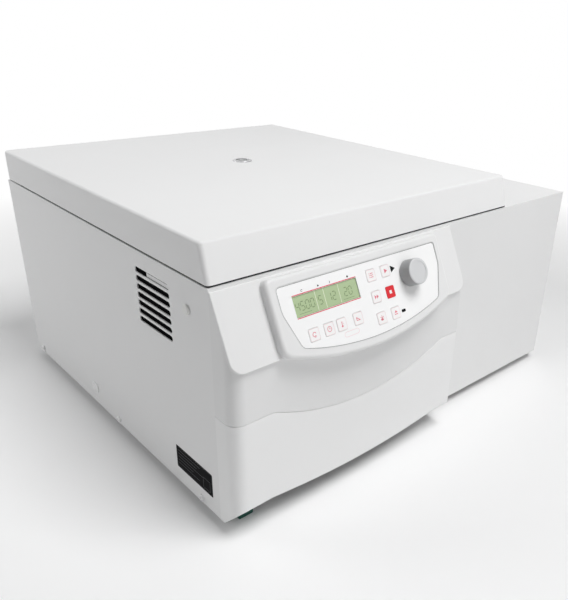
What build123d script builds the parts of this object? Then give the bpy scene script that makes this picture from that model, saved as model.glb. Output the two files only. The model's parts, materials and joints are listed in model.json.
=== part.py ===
"""Refrigerated bench centrifuge with a swing-out rotor for microplates.

Origin: middle of the footprint, on the bench. +X to the right, -Y towards the user, +Z up. Millimetres.
The cabinet holds the rotor chamber on the left and the cooling unit on the right. The lid lies on the
left part and swings up about two hinges at the rear.
"""
from math import cos, hypot, radians, sin, sqrt, tan
import os

from build123d import *

os.makedirs("parts", exist_ok=True)

# ---------------------------------------------------------------- cabinet
cabinet_width = 715.0
cabinet_depth = 599.0
cabinet_height = 308.0
sheet = 1.5
cover_bend = 3.0
pan_lip = 15.0
deck_lip = 12.0
foot_height = 16.0
foot_width = 27.0
foot_length = 36.0
foot_inset_x = 24.0
foot_overhang = 3.3
foot_taper = 10.0
right_foot_setback = 60.0
screw_head_radius = 4.5
screw_head_height = 3.0
screw_head_round = 1.6
screw_cross_reach = 2.4
screw_cross_width = 1.0
screw_cross_depth = 1.2
screw_shank_radius = 2.0
screw_shank_length = 6.0
screw_height = 8.0
rear_screw_spread = 300.0
side_screw_setbacks = (42.0, 272.0, 571.0)
lid_side_clearance = 4.0
panel_play = 0.3

# ---------------------------------------------------------------- vents and side panel plugs
slot_count = 7
slot_length = 80.5
slot_width = 7.5
slot_pitch = 11.0
vent_setback = 124.7
vent_height = 249.5
louvre_count = 12
louvre_length = 150.0
louvre_pitch = 12.0
louvre_width = 5.0
louvre_setback = 230.0
louvre_height = 190.0
release_setback = 46.3
release_height = 269.3
release_head_radius = 6.2
release_head_height = 2.6
release_stem_radius = 4.2
release_stem_length = 7.0
blank_setback = 347.6
blank_height = 29.0
blank_radius = 9.0
blank_head_height = 1.2
blank_stem_radius = 7.0
blank_stem_length = 3.0
cable_slot_length = 60.0
cable_slot_width = 24.0

# ---------------------------------------------------------------- lid and its hinges
lid_share = 0.7585
lid_width = cabinet_width * lid_share
lid_height = 45.2
lid_gap = 2.8
lid_wall = 3.0
lid_lean = 11.4
lid_front_inset = 1.3
lid_rear_inset = 3.0
lid_corner = 6.0
lid_edge = 4.0
lid_rib = 2.0
rib_spread = 120.0
rib_end_clearance = 24.0
liner_rise = 3.2
liner_thickness = 2.5
liner_bulge = 4.0
bulge_taper = 25.0
edge_gasket_inset = 1.5
edge_gasket_width = 8.5
edge_gasket_step = 2.8
edge_gasket_clearance = 0.3
sight_radius = 10.5
sight_ring_radius = 15.0
sight_ring_height = 1.2
sight_neck = 2.5
hinge_setback = 11.5
hinge_rise = 29.2
hinge_spread = 170.0
hinge_pin_radius = 4.0
running_clearance = 0.05
post_width = 14.0
post_thickness = 12.0
hinge_boss_radius = 8.0
ear_thickness = 6.0
ear_play = 0.4
notch_play = 2.0
notch_rise = 6.0
bracket_foot_width = 50.0
bracket_foot_depth = 30.0
bracket_foot_thickness = 3.0

# ---------------------------------------------------------------- chamber
rotor_setback = 320.5
bowl_radius = 190.0
bowl_depth = 174.0
bowl_wall = 1.5
bowl_corner = 14.0
bowl_flange = 15.0
bowl_hole_radius = 26.0
gasket_width = 12.0
gasket_clearance = 0.3
coil_gap = 0.3
coil_section = 8.0
coil_count = 5
coil_pitch = 26.0
coil_first_drop = 34.0
foam_thickness = 16.0
foam_gap = 0.5
foam_hole_radius = 48.0
guard_thickness = 4.0
guard_top_clearance = 14.0
boot_wall = 3.0
boot_radius = 34.0
pipe_hole_clearance = 1.0

# ---------------------------------------------------------------- drive
shaft_radius = 9.0
shaft_chamfer = 1.0
shaft_end_height = 34.0
motor_radius = 68.0
motor_bottom_height = 31.0
motor_flange_radius = 102.0
motor_flange_thickness = 8.0
motor_flange_height = 110.0
motor_boss_radius = 24.0
motor_boss_height = 9.0
motor_rib_count = 24
motor_rib_depth = 3.0
bearing_radius = 19.0
bearing_thickness = 12.0
bearing_recess = 5.0
mount_radius = 9.0
mount_height = 14.0
mount_circle = 88.0
plate_side = 280.0
plate_thickness = 5.0
plate_leg_radius = 10.0
plate_leg_inset = 16.0
motor_hole_clearance = 6.0

# ---------------------------------------------------------------- rotor and plate carriers
trunnion_rise = 90.0
trunnion_reach = 75.0
trunnion_radius = 5.0
hub_radius = 22.0
hub_bottom_rise = 34.0
hub_top_rise = 104.0
web_height = 22.0
web_half = 20.0
arm_thickness = 10.0
arm_overhang = 14.0
seat_radius = 7.5
thread_radius = 5.0
thread_length = 16.0
nut_radius = 17.0
nut_height = 20.0
nut_lobes = 6
nut_edge = 1.0
plate_length = 130.0
plate_width = 86.0
carrier_wall = 3.0
carrier_drop = 62.0
carrier_rim = 6.0
carrier_lip = 22.0
carrier_corner = 5.0
carrier_boss_radius = 12.0
carrier_boss_thickness = 7.0
carrier_side_play = 1.0
grip_radius = 16.0
pin_tip_gap = 0.4

# ---------------------------------------------------------------- lock
lock_setback = 45.0
latch_spread = 150.0
striker_drop = 22.0
striker_bar = 4.0
striker_width = 22.0
hook_width = 8.0
hook_offset = 10.5
hook_inner_radius = 14.0
hook_outer_radius = 19.0
hook_hub_radius = 7.0
hook_start = -12.0
hook_end = 48.0
hook_arm_lead = 8.0
latch_shaft_radius = 5.0
lock_plate = 3.0
lock_overhang = 18.0
lock_depth_front = 16.0
lock_depth_rear = 24.0
lock_below_shaft = 14.0
lock_motor_radius = 14.0
lock_motor_length = 46.0
latch_slot_width = 30.0
latch_slot_depth = 20.0

# ---------------------------------------------------------------- front moulding
fascia_width = 400.0
fascia_depth = 37.0
fascia_wall = 3.0
fascia_corner = 17.0
fascia_far_corner = 6.0
visor_tilt = 25.5
visor_length = 94.0
visor_thickness = 4.0
visor_corner = 17.0
visor_drop = 3.0
visor_setoff = 1.0
visor_edge = 1.5
seam_height = 152.5
seam_dip = 33.0
seam_left_flat = 57.5
seam_right_flat = 39.5
seam_gap = 0.8
seam_round = 1.0
chin_height = 29.0
chin_dip = 10.0

# ---------------------------------------------------------------- control panel, measured on the visor
panel_shift = 8.0
bezel_half_width = 146.0
bezel_top = 3.0
bezel_side_end = 92.0
bezel_chin = 118.0
bezel_height = 12.0
bezel_round = 5.0
bezel_wall = 3.0
bezel_top_corner = 8.0
bezel_low_corner = 16.0
bezel_root = 26.0
foil_half_width = 134.5
foil_top = 15.0
foil_taper_start = 45.0
foil_low_half_width = 119.0
foil_side_end = 89.0
foil_chin = 106.5
foil_top_corner = 5.0
foil_side_corner = 30.0
foil_low_corner = 9.0
foil_thickness = 0.5
foil_recess = 1.2
foil_play = 0.8
display_play = 0.2
display_x = -66.0
display_drop = 42.0
display_width = 99.5
display_height = 24.4
display_recess = 1.0
display_rim = 3.0
key_size = 15.0
key_corner = 2.0
key_play = 0.3
key_proud = 0.4
key_flange = 1.3
key_flange_thickness = 1.1
key_flange_gap = 0.5
switch_gap = 0.8
switch_side = 6.0
board_thickness = 1.6
board_height = 1.0
board_half_width = 124.0
board_top = 18.0
board_bottom = 96.0
board_boss_radius = 3.5
board_boss_inset = 4.5
knob_x = 75.0
knob_drop = 45.0
knob_radius = 17.5
knob_length = 18.0
knob_gap = 0.5
knob_taper = 1.0
knob_edge = 2.0
knob_disc_inset = 2.5
knob_disc_depth = 0.5
knob_bore_depth = 13.0
encoder_shaft_radius = 3.0
encoder_side = 14.0
encoder_bush_radius = 4.5
encoder_bush_rise = 0.4
key_column_a = 9.0
key_column_b = 34.5
key_row_a = 33.0
key_row_b = 60.5
key_row_c = 88.0
lower_key_row = 78.0
speed_key_x = -99.0
time_key_x = -76.0
temperature_key_x = -56.0
brake_key_x = -29.0

# ---------------------------------------------------------------- cooling unit
compressor_radius = 60.0
compressor_height = 150.0
compressor_dome = 26.0
compressor_setback = 215.0
compressor_lift = 12.0
compressor_plate = 3.0
compressor_plate_side = 140.0
grommet_radius = 9.0
grommet_inset = 14.0
terminal_width = 30.0
terminal_depth = 46.0
terminal_height = 50.0
coil_width = 150.0
coil_height = 190.0
coil_depth = 40.0
coil_lift = 20.0
coil_setback = 470.0
fin_count = 24
fin_thickness = 0.8
coil_tube_radius = 4.0
coil_tube_rows = 6
coil_frame = 3.0
shroud_wall = 2.0
fan_radius = 66.0
fan_tip_gap = 3.0
fan_hub_radius = 24.0
fan_hub_depth = 22.0
fan_blades = 5
fan_blade_angle = 34.0
fan_blade_thickness = 2.0
fan_setback = 566.0
fan_spindle_radius = 4.0
fan_spindle_length = 16.0
fan_arm_width = 8.0
fan_arm_thickness = 4.0
fan_motor_depth = 14.0
fan_float = 1.0
pipe_radius = 4.0
pipe_bend = 18.0
pipe_rise = 30.0
grille_rows = 9
grille_pitch = 13.0
grille_slot = 7.0
grille_mullion = 6.0

# ---------------------------------------------------------------- electrics
inlet_inset = 107.5
inlet_height = 70.0
inlet_flange_width = 50.0
inlet_flange_height = 31.0
inlet_flange_thickness = 2.0
inlet_body_width = 31.0
inlet_body_height = 23.0
inlet_body_depth = 28.0
inlet_socket_width = 24.5
inlet_socket_height = 16.5
inlet_socket_depth = 17.0
inlet_pin_width = 4.0
inlet_pin_thickness = 2.0
inlet_pin_length = 14.0
inlet_pin_spread = 7.0
inlet_pin_rise = 3.0
switch_shift = 52.0
rocker_width = 12.0
rocker_height = 24.0
rocker_proud = 3.0
rocker_play = 0.4
rocker_sink = 7.0
rocker_tilt = 7.0
switch_frame = 3.0
switch_depth = 22.0
drive_gap = 26.0
drive_setback = 28.0
drive_length = 118.0
drive_height = 262.0
drive_base = 6.0
drive_fin_depth = 20.0
drive_fin_thickness = 2.0
drive_fin_count = 12
drive_board_gap = 8.0
drive_boss_share = 0.8
capacitor_radius = 15.0
capacitor_length = 30.0

# ---------------------------------------------------------------- places worked out from the sizes
tilt_sin = sin(radians(visor_tilt))
tilt_cos = cos(radians(visor_tilt))
lip_reach = (
    visor_setoff + (bezel_chin - bezel_round) * tilt_sin + (bezel_height - bezel_round) * tilt_cos + bezel_round
)
rear_reach = inlet_flange_thickness + rocker_proud
overall_depth = lip_reach + cabinet_depth + rear_reach
x_left = -cabinet_width / 2
x_right = cabinet_width / 2
y_front = lip_reach - overall_depth / 2
y_rear = y_front + cabinet_depth
z_floor = foot_height
z_deck = foot_height + cabinet_height
y_middle = (y_front + y_rear) / 2
pan_top = z_floor + sheet
deck_under = z_deck - sheet
side_screw_points = [(y_front + setback, z_floor + screw_height) for setback in side_screw_setbacks]
rear_screw_points = [(across, z_floor + screw_height) for across in (-rear_screw_spread, 0, rear_screw_spread)]
screw_hole_radius = screw_shank_radius + running_clearance
inlet_x = x_left + inlet_inset
switch_x = inlet_x + switch_shift
switch_body_width = rocker_width + 2 * switch_frame
switch_body_height = rocker_height + 2 * switch_frame
inner_width = cabinet_width - 2 * sheet
inner_depth = cabinet_depth - 2 * sheet

lid_left = x_left
lid_right = x_left + lid_width
lid_x = (lid_left + lid_right) / 2
lid_front = y_front + lid_front_inset
lid_rear = y_rear - lid_rear_inset
lid_bottom = z_deck + lid_gap
lid_top = lid_bottom + lid_height
liner_bottom = lid_bottom + liner_rise
liner_top = liner_bottom + liner_thickness
chamber_gap = liner_bottom - z_deck
split_x = lid_right + lid_side_clearance
hinge_y = lid_rear - hinge_setback
hinge_z = lid_bottom + hinge_rise
hinge_xs = (lid_x - hinge_spread, lid_x + hinge_spread)

rotor_x = lid_x
rotor_y = y_front + rotor_setback
bowl_floor = z_deck - bowl_depth
coil_inner = bowl_radius + bowl_wall + coil_gap
coil_outer = coil_inner + coil_section
foam_inner = coil_outer + foam_gap
foam_outer = foam_inner + foam_thickness
guard_inner = foam_outer + foam_gap
guard_outer = guard_inner + guard_thickness
coil_heights = [z_deck - coil_first_drop - turn * coil_pitch for turn in range(coil_count)]

motor_top = motor_flange_height + motor_flange_thickness
plate_top = motor_flange_height - mount_height
hub_bottom = bowl_floor + hub_bottom_rise
hub_top = bowl_floor + hub_top_rise
trunnion_z = bowl_floor + trunnion_rise
carrier_half_length = plate_length / 2 + carrier_wall
carrier_half_width = plate_width / 2 + carrier_wall
arm_inner = carrier_half_length + carrier_boss_thickness + carrier_side_play
arm_outer = arm_inner + arm_thickness
arm_half_length = trunnion_reach + arm_overhang

lock_y = y_front + lock_setback
striker_z = z_deck - striker_drop
latch_z = striker_z - hook_offset
latch_xs = (lid_x - latch_spread, lid_x + latch_spread)

fascia_x = x_left + fascia_width / 2
fascia_front = y_front - fascia_depth
visor_top_z = z_deck - visor_drop
seam_z = z_floor + seam_height
visor = Plane(
    origin=(fascia_x, y_front - visor_setoff, visor_top_z),
    x_dir=(1, 0, 0),
    z_dir=(0, -tilt_cos, tilt_sin),
)
plate_front = bezel_height - foil_recess
plate_back = plate_front - bezel_wall
foil_front = plate_front + foil_thickness
board_front = board_height + board_thickness
key_back = plate_back - key_flange_gap
switch_top = key_back - key_flange_thickness - switch_gap

cooling_x = (split_x + x_right) / 2
compressor_y = y_front + compressor_setback
compressor_z = pan_top + compressor_lift
coil_front = y_front + coil_setback
coil_back = coil_front + coil_depth
coil_bottom = pan_top + coil_lift
fan_y = y_front + fan_setback
fan_z = coil_bottom + coil_height / 2
inlet_z = z_floor + inlet_height

panel_normal = Axis(visor.origin, visor.z_dir)
left_face = Plane(origin=(x_left, 0, 0), x_dir=(0, -1, 0), z_dir=(-1, 0, 0))
right_face = Plane(origin=(x_right, 0, 0), x_dir=(0, 1, 0), z_dir=(1, 0, 0))
rear_face = Plane(origin=(0, y_rear, 0), x_dir=(-1, 0, 0), z_dir=(0, 1, 0))
keys = {
    "key_program": (key_column_a, key_row_a),
    "key_start": (key_column_b, key_row_a),
    "key_quick": (key_column_a, key_row_b),
    "key_stop": (key_column_b, key_row_b),
    "key_cool": (key_column_a, key_row_c),
    "key_lid": (key_column_b, key_row_c),
    "key_speed": (speed_key_x, lower_key_row),
    "key_time": (time_key_x, lower_key_row),
    "key_temperature": (temperature_key_x, lower_key_row),
    "key_brake": (brake_key_x, lower_key_row),
}


def on_panel(height):
    """Plane parallel to the visor face, this far in front of it."""
    return visor.offset(height)


def panel_point(across, drop):
    """Sketch point on the visor: across from the middle of the control panel, drop down the slope."""
    return (panel_shift + across, -drop)


# ================================================================ cabinet sheet metal
with BuildPart() as base_pan:
    with BuildSketch(Plane.XY.offset(z_floor)):
        with Locations((0, y_middle)):
            Rectangle(inner_width, inner_depth)
    extrude(amount=pan_lip)
    with BuildSketch(Plane.XY.offset(pan_top)):
        with Locations((0, y_middle)):
            Rectangle(inner_width - 2 * sheet, inner_depth - 2 * sheet)
    extrude(amount=pan_lip, mode=Mode.SUBTRACT)
    with BuildSketch(Plane.XY.offset(z_floor)):
        with Locations((cooling_x, compressor_y + compressor_plate_side)):
            with GridLocations(0, louvre_pitch, 1, louvre_count // 2):
                SlotOverall(compressor_radius * 2, louvre_width)
    extrude(amount=sheet, mode=Mode.SUBTRACT)
    with BuildSketch(Plane.YZ.offset(x_left)):
        with Locations(*side_screw_points):
            Circle(screw_hole_radius)
    extrude(amount=cabinet_width, mode=Mode.SUBTRACT)
    with BuildSketch(Plane.XZ.offset(-y_rear)):
        with Locations(*rear_screw_points):
            Circle(screw_hole_radius)
    extrude(amount=screw_shank_length, mode=Mode.SUBTRACT)
base_pan.part.label = "base_pan"
export_step(base_pan.part, "parts/base_pan.step")


with BuildPart() as left_side_panel:
    with BuildSketch(Plane.YZ.offset(x_left)):
        with Locations((y_middle, z_floor + cabinet_height / 2)):
            Rectangle(cabinet_depth, cabinet_height)
        with Locations((y_front + vent_setback, z_floor + vent_height)):
            with GridLocations(0, slot_pitch, 1, slot_count):
                SlotOverall(slot_length, slot_width, mode=Mode.SUBTRACT)
        with Locations((y_front + release_setback, z_floor + release_height)):
            Circle(release_stem_radius + panel_play, mode=Mode.SUBTRACT)
        with Locations((y_front + blank_setback, z_floor + blank_height)):
            Circle(blank_stem_radius, mode=Mode.SUBTRACT)
        with Locations(*side_screw_points):
            Circle(screw_hole_radius, mode=Mode.SUBTRACT)
    extrude(amount=sheet)
left_side_panel.part.label = "left_side_panel"
export_step(left_side_panel.part, "parts/left_side_panel.step")


with BuildPart() as rear_panel:
    with BuildSketch(Plane.XZ.offset(-y_rear)):
        with Locations((0, z_floor + cabinet_height / 2)):
            Rectangle(inner_width, cabinet_height)
        with Locations((inlet_x, inlet_z)):
            Rectangle(inlet_body_width + panel_play, inlet_body_height + panel_play, mode=Mode.SUBTRACT)
        with Locations((switch_x, inlet_z)):
            Rectangle(switch_body_width, switch_body_height, mode=Mode.SUBTRACT)
        with Locations(*rear_screw_points):
            Circle(screw_hole_radius, mode=Mode.SUBTRACT)
        for row in range(grille_rows):
            rise = (row - (grille_rows - 1) / 2) * grille_pitch
            half_chord = sqrt(fan_radius**2 - rise**2)
            with Locations((cooling_x, fan_z + rise)):
                with GridLocations(half_chord + grille_mullion, 0, 2, 1):
                    SlotOverall(half_chord, grille_slot, mode=Mode.SUBTRACT)
    extrude(amount=sheet)
rear_panel.part.label = "rear_panel"
export_step(rear_panel.part, "parts/rear_panel.step")


with BuildPart() as front_panel:
    with BuildSketch(Plane.XZ.offset(-y_front)):
        with Locations((0, z_floor + cabinet_height / 2)):
            Rectangle(inner_width, cabinet_height)
        with Locations((fascia_x, z_floor + cabinet_height / 2)):
            SlotOverall(cable_slot_length, cable_slot_width, mode=Mode.SUBTRACT)
    extrude(amount=-sheet)
front_panel.part.label = "front_panel"
export_step(front_panel.part, "parts/front_panel.step")


with BuildPart() as side_unit_cover:
    with BuildSketch(Plane.XZ.offset(-y_front - sheet)):
        with BuildLine():
            Polyline(
                (split_x, z_deck),
                (x_right, z_deck),
                (x_right, z_floor),
                (x_right - sheet, z_floor),
                (x_right - sheet, deck_under),
                (split_x, deck_under),
                close=True,
            )
        make_face()
    extrude(amount=-inner_depth)
    fillet(side_unit_cover.edges().filter_by(Axis.Y).group_by(Axis.X)[-1].sort_by(Axis.Z)[-1], cover_bend)
    with BuildSketch(Plane.YZ.offset(x_right)):
        with Locations((y_front + louvre_setback, z_floor + louvre_height)):
            with GridLocations(louvre_length + louvre_pitch, louvre_pitch, 2, louvre_count):
                SlotOverall(louvre_length, louvre_width)
        with Locations(*side_screw_points):
            Circle(screw_hole_radius)
    extrude(amount=-sheet, mode=Mode.SUBTRACT)
side_unit_cover.part.label = "side_unit_cover"
export_step(side_unit_cover.part, "parts/side_unit_cover.step")


deck_left = x_left + sheet
deck_width = split_x - deck_left
deck_x = deck_left + deck_width / 2

with BuildPart() as top_deck:
    with BuildSketch(Plane.XY.offset(z_deck)):
        with Locations((deck_x, y_middle)):
            Rectangle(deck_width, inner_depth)
    extrude(amount=-deck_lip)
    with BuildSketch(Plane.XY.offset(deck_under)):
        with Locations((deck_x, y_middle)):
            Rectangle(deck_width - 2 * sheet, inner_depth - 2 * sheet)
    extrude(amount=-deck_lip, mode=Mode.SUBTRACT)
    with BuildSketch(Plane.XY.offset(z_deck)):
        with Locations((rotor_x, rotor_y)):
            Circle(bowl_radius + bowl_wall + foam_gap)
        with Locations(*[(x, lock_y) for x in latch_xs]):
            Rectangle(latch_slot_width, latch_slot_depth)
        with Locations(*[(x, hinge_y) for x in hinge_xs]):
            Rectangle(post_width + 2 * ear_play, post_thickness + 2 * ear_play)
    extrude(amount=-sheet, mode=Mode.SUBTRACT)
top_deck.part.label = "top_deck"
export_step(top_deck.part, "parts/top_deck.step")


foot_xs = (x_left + foot_inset_x + foot_width / 2, x_right - foot_inset_x - foot_width / 2)
foot_ys = (y_front - foot_overhang + foot_length / 2, y_rear + foot_overhang - foot_length / 2)
foot_points = [
    (foot_xs[0], foot_ys[0]),
    (foot_xs[1], foot_ys[0] + right_foot_setback),
    (foot_xs[0], foot_ys[1]),
    (foot_xs[1], foot_ys[1]),
]

with BuildPart() as feet:
    with BuildSketch(Plane.XY.offset(z_floor)):
        with Locations(*foot_points):
            RectangleRounded(foot_width, foot_length, foot_width / 6)
    extrude(amount=-foot_height, taper=foot_taper)
feet.part.label = "feet"
export_step(feet.part, "parts/feet.step")


with BuildPart() as panel_fixings:
    for head_face, points in (
        (left_face, [(-y, z) for y, z in side_screw_points]),
        (right_face, side_screw_points),
        (rear_face, rear_screw_points),
    ):
        with BuildSketch(head_face):
            with Locations(*points):
                Circle(screw_head_radius)
        extrude(amount=screw_head_height)
        outward = Axis(head_face.origin, head_face.z_dir)
        fillet(panel_fixings.faces().filter_by(outward).sort_by(outward)[-len(points):].edges(), screw_head_round)
        with BuildSketch(head_face.offset(screw_head_height)):
            with Locations(*points):
                Rectangle(2 * screw_cross_reach, screw_cross_width)
                Rectangle(screw_cross_width, 2 * screw_cross_reach)
        extrude(amount=-screw_cross_depth, mode=Mode.SUBTRACT)
        with BuildSketch(head_face):
            with Locations(*points):
                Circle(screw_shank_radius)
        extrude(amount=-screw_shank_length)
    with BuildSketch(Plane.YZ.offset(x_left)):
        with Locations((y_front + blank_setback, z_floor + blank_height)):
            Circle(blank_radius)
    extrude(amount=-blank_head_height)
    with BuildSketch(Plane.YZ.offset(x_left)):
        with Locations((y_front + blank_setback, z_floor + blank_height)):
            Circle(blank_stem_radius)
    extrude(amount=blank_stem_length)
panel_fixings.part.label = "panel_fixings"
export_step(panel_fixings.part, "parts/panel_fixings.step")


with BuildPart() as release_plug:
    with BuildSketch(Plane.YZ.offset(x_left - panel_play)):
        with Locations((y_front + release_setback, z_floor + release_height)):
            Circle(release_head_radius)
    extrude(amount=-release_head_height)
    with BuildSketch(Plane.YZ.offset(x_left - panel_play)):
        with Locations((y_front + release_setback, z_floor + release_height)):
            Circle(release_stem_radius)
    extrude(amount=release_stem_length)
    fillet(release_plug.faces().sort_by(Axis.X)[0].edges(), release_head_height / 2)
release_plug.part.label = "release_plug"
export_step(release_plug.part, "parts/release_plug.step")


# ================================================================ chamber
with BuildPart() as chamber_bowl:
    with Locations((rotor_x, rotor_y, bowl_floor - bowl_wall)):
        Cylinder(
            bowl_radius + bowl_wall,
            bowl_depth + bowl_wall + sheet,
            align=(Align.CENTER, Align.CENTER, Align.MIN),
        )
    fillet(chamber_bowl.faces().sort_by(Axis.Z)[0].edges(), bowl_corner + bowl_wall)
    offset(amount=-bowl_wall, openings=chamber_bowl.faces().sort_by(Axis.Z)[-1])
    with BuildSketch(Plane.XY.offset(z_deck)):
        with Locations((rotor_x, rotor_y)):
            Circle(bowl_radius + bowl_wall + bowl_flange)
            Circle(bowl_radius, mode=Mode.SUBTRACT)
    extrude(amount=sheet)
    with BuildSketch(Plane.XY.offset(bowl_floor)):
        with Locations((rotor_x, rotor_y)):
            Circle(bowl_hole_radius)
    extrude(amount=-bowl_wall, mode=Mode.SUBTRACT)
chamber_bowl.part.label = "chamber_bowl"
export_step(chamber_bowl.part, "parts/chamber_bowl.step")


with BuildPart() as chamber_gasket:
    with BuildSketch(Plane.XY.offset(z_deck + sheet)):
        with Locations((rotor_x, rotor_y)):
            Circle(bowl_radius + bowl_wall + gasket_width)
            Circle(bowl_radius + bowl_wall, mode=Mode.SUBTRACT)
    extrude(amount=chamber_gap - sheet - gasket_clearance)
chamber_gasket.part.label = "chamber_gasket"
export_step(chamber_gasket.part, "parts/chamber_gasket.step")


guard_height = z_deck - guard_top_clearance - pan_top
suction_z = coil_heights[-1]

with BuildPart() as guard_ring:
    with BuildSketch(Plane.XY.offset(pan_top)):
        with Locations((rotor_x, rotor_y)):
            Circle(guard_outer)
            Circle(guard_inner, mode=Mode.SUBTRACT)
    extrude(amount=guard_height)
    with BuildSketch(Plane.YZ.offset(rotor_x)):
        with Locations((rotor_y, suction_z)):
            Circle(pipe_radius + pipe_hole_clearance)
    extrude(amount=guard_outer + guard_thickness, mode=Mode.SUBTRACT)
guard_ring.part.label = "guard_ring"
export_step(guard_ring.part, "parts/guard_ring.step")


with BuildPart() as chamber_insulation:
    foam_floor = bowl_floor - bowl_wall - foam_gap - foam_thickness
    with BuildSketch(Plane.XY.offset(foam_floor)):
        with Locations((rotor_x, rotor_y)):
            Circle(foam_outer)
            Circle(foam_hole_radius, mode=Mode.SUBTRACT)
    extrude(amount=z_deck - guard_top_clearance - foam_floor)
    with BuildSketch(Plane.XY.offset(foam_floor + foam_thickness)):
        with Locations((rotor_x, rotor_y)):
            Circle(foam_inner)
    extrude(amount=bowl_depth, mode=Mode.SUBTRACT)
    with BuildSketch(Plane.YZ.offset(rotor_x + foam_inner - foam_thickness)):
        with Locations((rotor_y, suction_z)):
            Circle(pipe_radius + pipe_hole_clearance)
    extrude(amount=3 * foam_thickness, mode=Mode.SUBTRACT)
chamber_insulation.part.label = "chamber_insulation"
export_step(chamber_insulation.part, "parts/chamber_insulation.step")


boss_top = motor_top + motor_boss_height
boot_neck = bowl_hole_radius - panel_play

with BuildPart() as shaft_boot:
    with BuildSketch(Plane.XY.offset(boss_top)):
        with Locations((rotor_x, rotor_y)):
            Circle(boot_neck)
    extrude(amount=bowl_floor - boss_top)
    with BuildSketch(Plane.XY.offset(bowl_floor)):
        with Locations((rotor_x, rotor_y)):
            Circle(boot_radius)
    extrude(amount=boot_wall)
    with BuildSketch(Plane.XY.offset((boss_top + bowl_floor - boot_wall) / 2)):
        with Locations((rotor_x, rotor_y)):
            Circle(boot_radius)
    extrude(amount=boot_wall)
    with BuildSketch(Plane.XY.offset(boss_top)):
        with Locations((rotor_x, rotor_y)):
            Circle(boot_neck - boot_wall)
    extrude(amount=bowl_floor - boss_top, mode=Mode.SUBTRACT)
    with BuildSketch(Plane.XY.offset(boss_top)):
        with Locations((rotor_x, rotor_y)):
            Circle(shaft_radius + boot_wall / 2)
    extrude(amount=bowl_depth, mode=Mode.SUBTRACT)
shaft_boot.part.label = "shaft_boot"
export_step(shaft_boot.part, "parts/shaft_boot.step")


# ================================================================ drive
lower_bearing_z = motor_bottom_height + bearing_recess
upper_bearing_z = boss_top - bearing_recess - bearing_thickness

with BuildPart() as motor_housing:
    with BuildSketch(Plane.XY.offset(motor_bottom_height)):
        with Locations((rotor_x, rotor_y)):
            Circle(motor_radius - motor_rib_depth)
            with PolarLocations(motor_radius - motor_rib_depth, motor_rib_count):
                Rectangle(2 * motor_rib_depth, motor_rib_depth)
    extrude(amount=motor_flange_height - motor_bottom_height)
    with BuildSketch(Plane.XY.offset(motor_flange_height)):
        with Locations((rotor_x, rotor_y)):
            Circle(motor_flange_radius)
    extrude(amount=motor_flange_thickness)
    with BuildSketch(Plane.XY.offset(motor_top)):
        with Locations((rotor_x, rotor_y)):
            Circle(motor_boss_radius)
    extrude(amount=motor_boss_height)
    with BuildSketch(Plane.XY.offset(boss_top)):
        with Locations((rotor_x, rotor_y)):
            Circle(shaft_radius + boot_wall)
    extrude(amount=-bowl_depth, mode=Mode.SUBTRACT)
    with BuildSketch(Plane.XY.offset(boss_top)):
        with Locations((rotor_x, rotor_y)):
            Circle(bearing_radius)
    extrude(amount=upper_bearing_z - boss_top, mode=Mode.SUBTRACT)
    with BuildSketch(Plane.XY.offset(motor_bottom_height)):
        with Locations((rotor_x, rotor_y)):
            Circle(bearing_radius)
    extrude(amount=bearing_recess + bearing_thickness, mode=Mode.SUBTRACT)
motor_housing.part.label = "motor_housing"
export_step(motor_housing.part, "parts/motor_housing.step")


with BuildPart() as shaft_bearings:
    for height in (lower_bearing_z, upper_bearing_z):
        with BuildSketch(Plane.XY.offset(height)):
            with Locations((rotor_x, rotor_y)):
                Circle(bearing_radius)
                Circle(shaft_radius + running_clearance, mode=Mode.SUBTRACT)
        extrude(amount=bearing_thickness)
shaft_bearings.part.label = "shaft_bearings"
export_step(shaft_bearings.part, "parts/shaft_bearings.step")


compressor_feet = compressor_plate_side / 2 - grommet_inset

with BuildPart() as rubber_mounts:
    with BuildSketch(Plane.XY.offset(plate_top)):
        with Locations((rotor_x, rotor_y)):
            with PolarLocations(mount_circle, 4):
                Circle(mount_radius)
    extrude(amount=mount_height)
    with BuildSketch(Plane.XY.offset(pan_top)):
        with Locations((cooling_x, compressor_y)):
            with GridLocations(2 * compressor_feet, 2 * compressor_feet, 2, 2):
                Circle(grommet_radius)
    extrude(amount=compressor_lift)
rubber_mounts.part.label = "rubber_mounts"
export_step(rubber_mounts.part, "parts/rubber_mounts.step")


with BuildPart() as motor_plate:
    with BuildSketch(Plane.XY.offset(plate_top)):
        with Locations((rotor_x, rotor_y)):
            RectangleRounded(plate_side, plate_side, plate_leg_radius)
            Circle(motor_radius + motor_hole_clearance, mode=Mode.SUBTRACT)
    extrude(amount=-plate_thickness)
    with BuildSketch(Plane.XY.offset(pan_top)):
        with Locations((rotor_x, rotor_y)):
            with GridLocations(plate_side - 2 * plate_leg_inset, plate_side - 2 * plate_leg_inset, 2, 2):
                Circle(plate_leg_radius)
    extrude(amount=plate_top - plate_thickness - pan_top)
motor_plate.part.label = "motor_plate"
export_step(motor_plate.part, "parts/motor_plate.step")


with BuildPart() as drive_shaft:
    for bottom, top, radius in (
        (shaft_end_height, hub_bottom, shaft_radius),
        (hub_bottom, hub_top, seat_radius),
        (hub_top, hub_top + thread_length, thread_radius),
    ):
        with BuildSketch(Plane.XY.offset(bottom)):
            with Locations((rotor_x, rotor_y)):
                Circle(radius)
        extrude(amount=top - bottom)
    chamfer(drive_shaft.faces().sort_by(Axis.Z)[-1].edges(), shaft_chamfer)
drive_shaft.part.label = "drive_shaft"
export_step(drive_shaft.part, "parts/drive_shaft.step")


arm_y = (arm_inner + arm_outer) / 2

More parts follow.
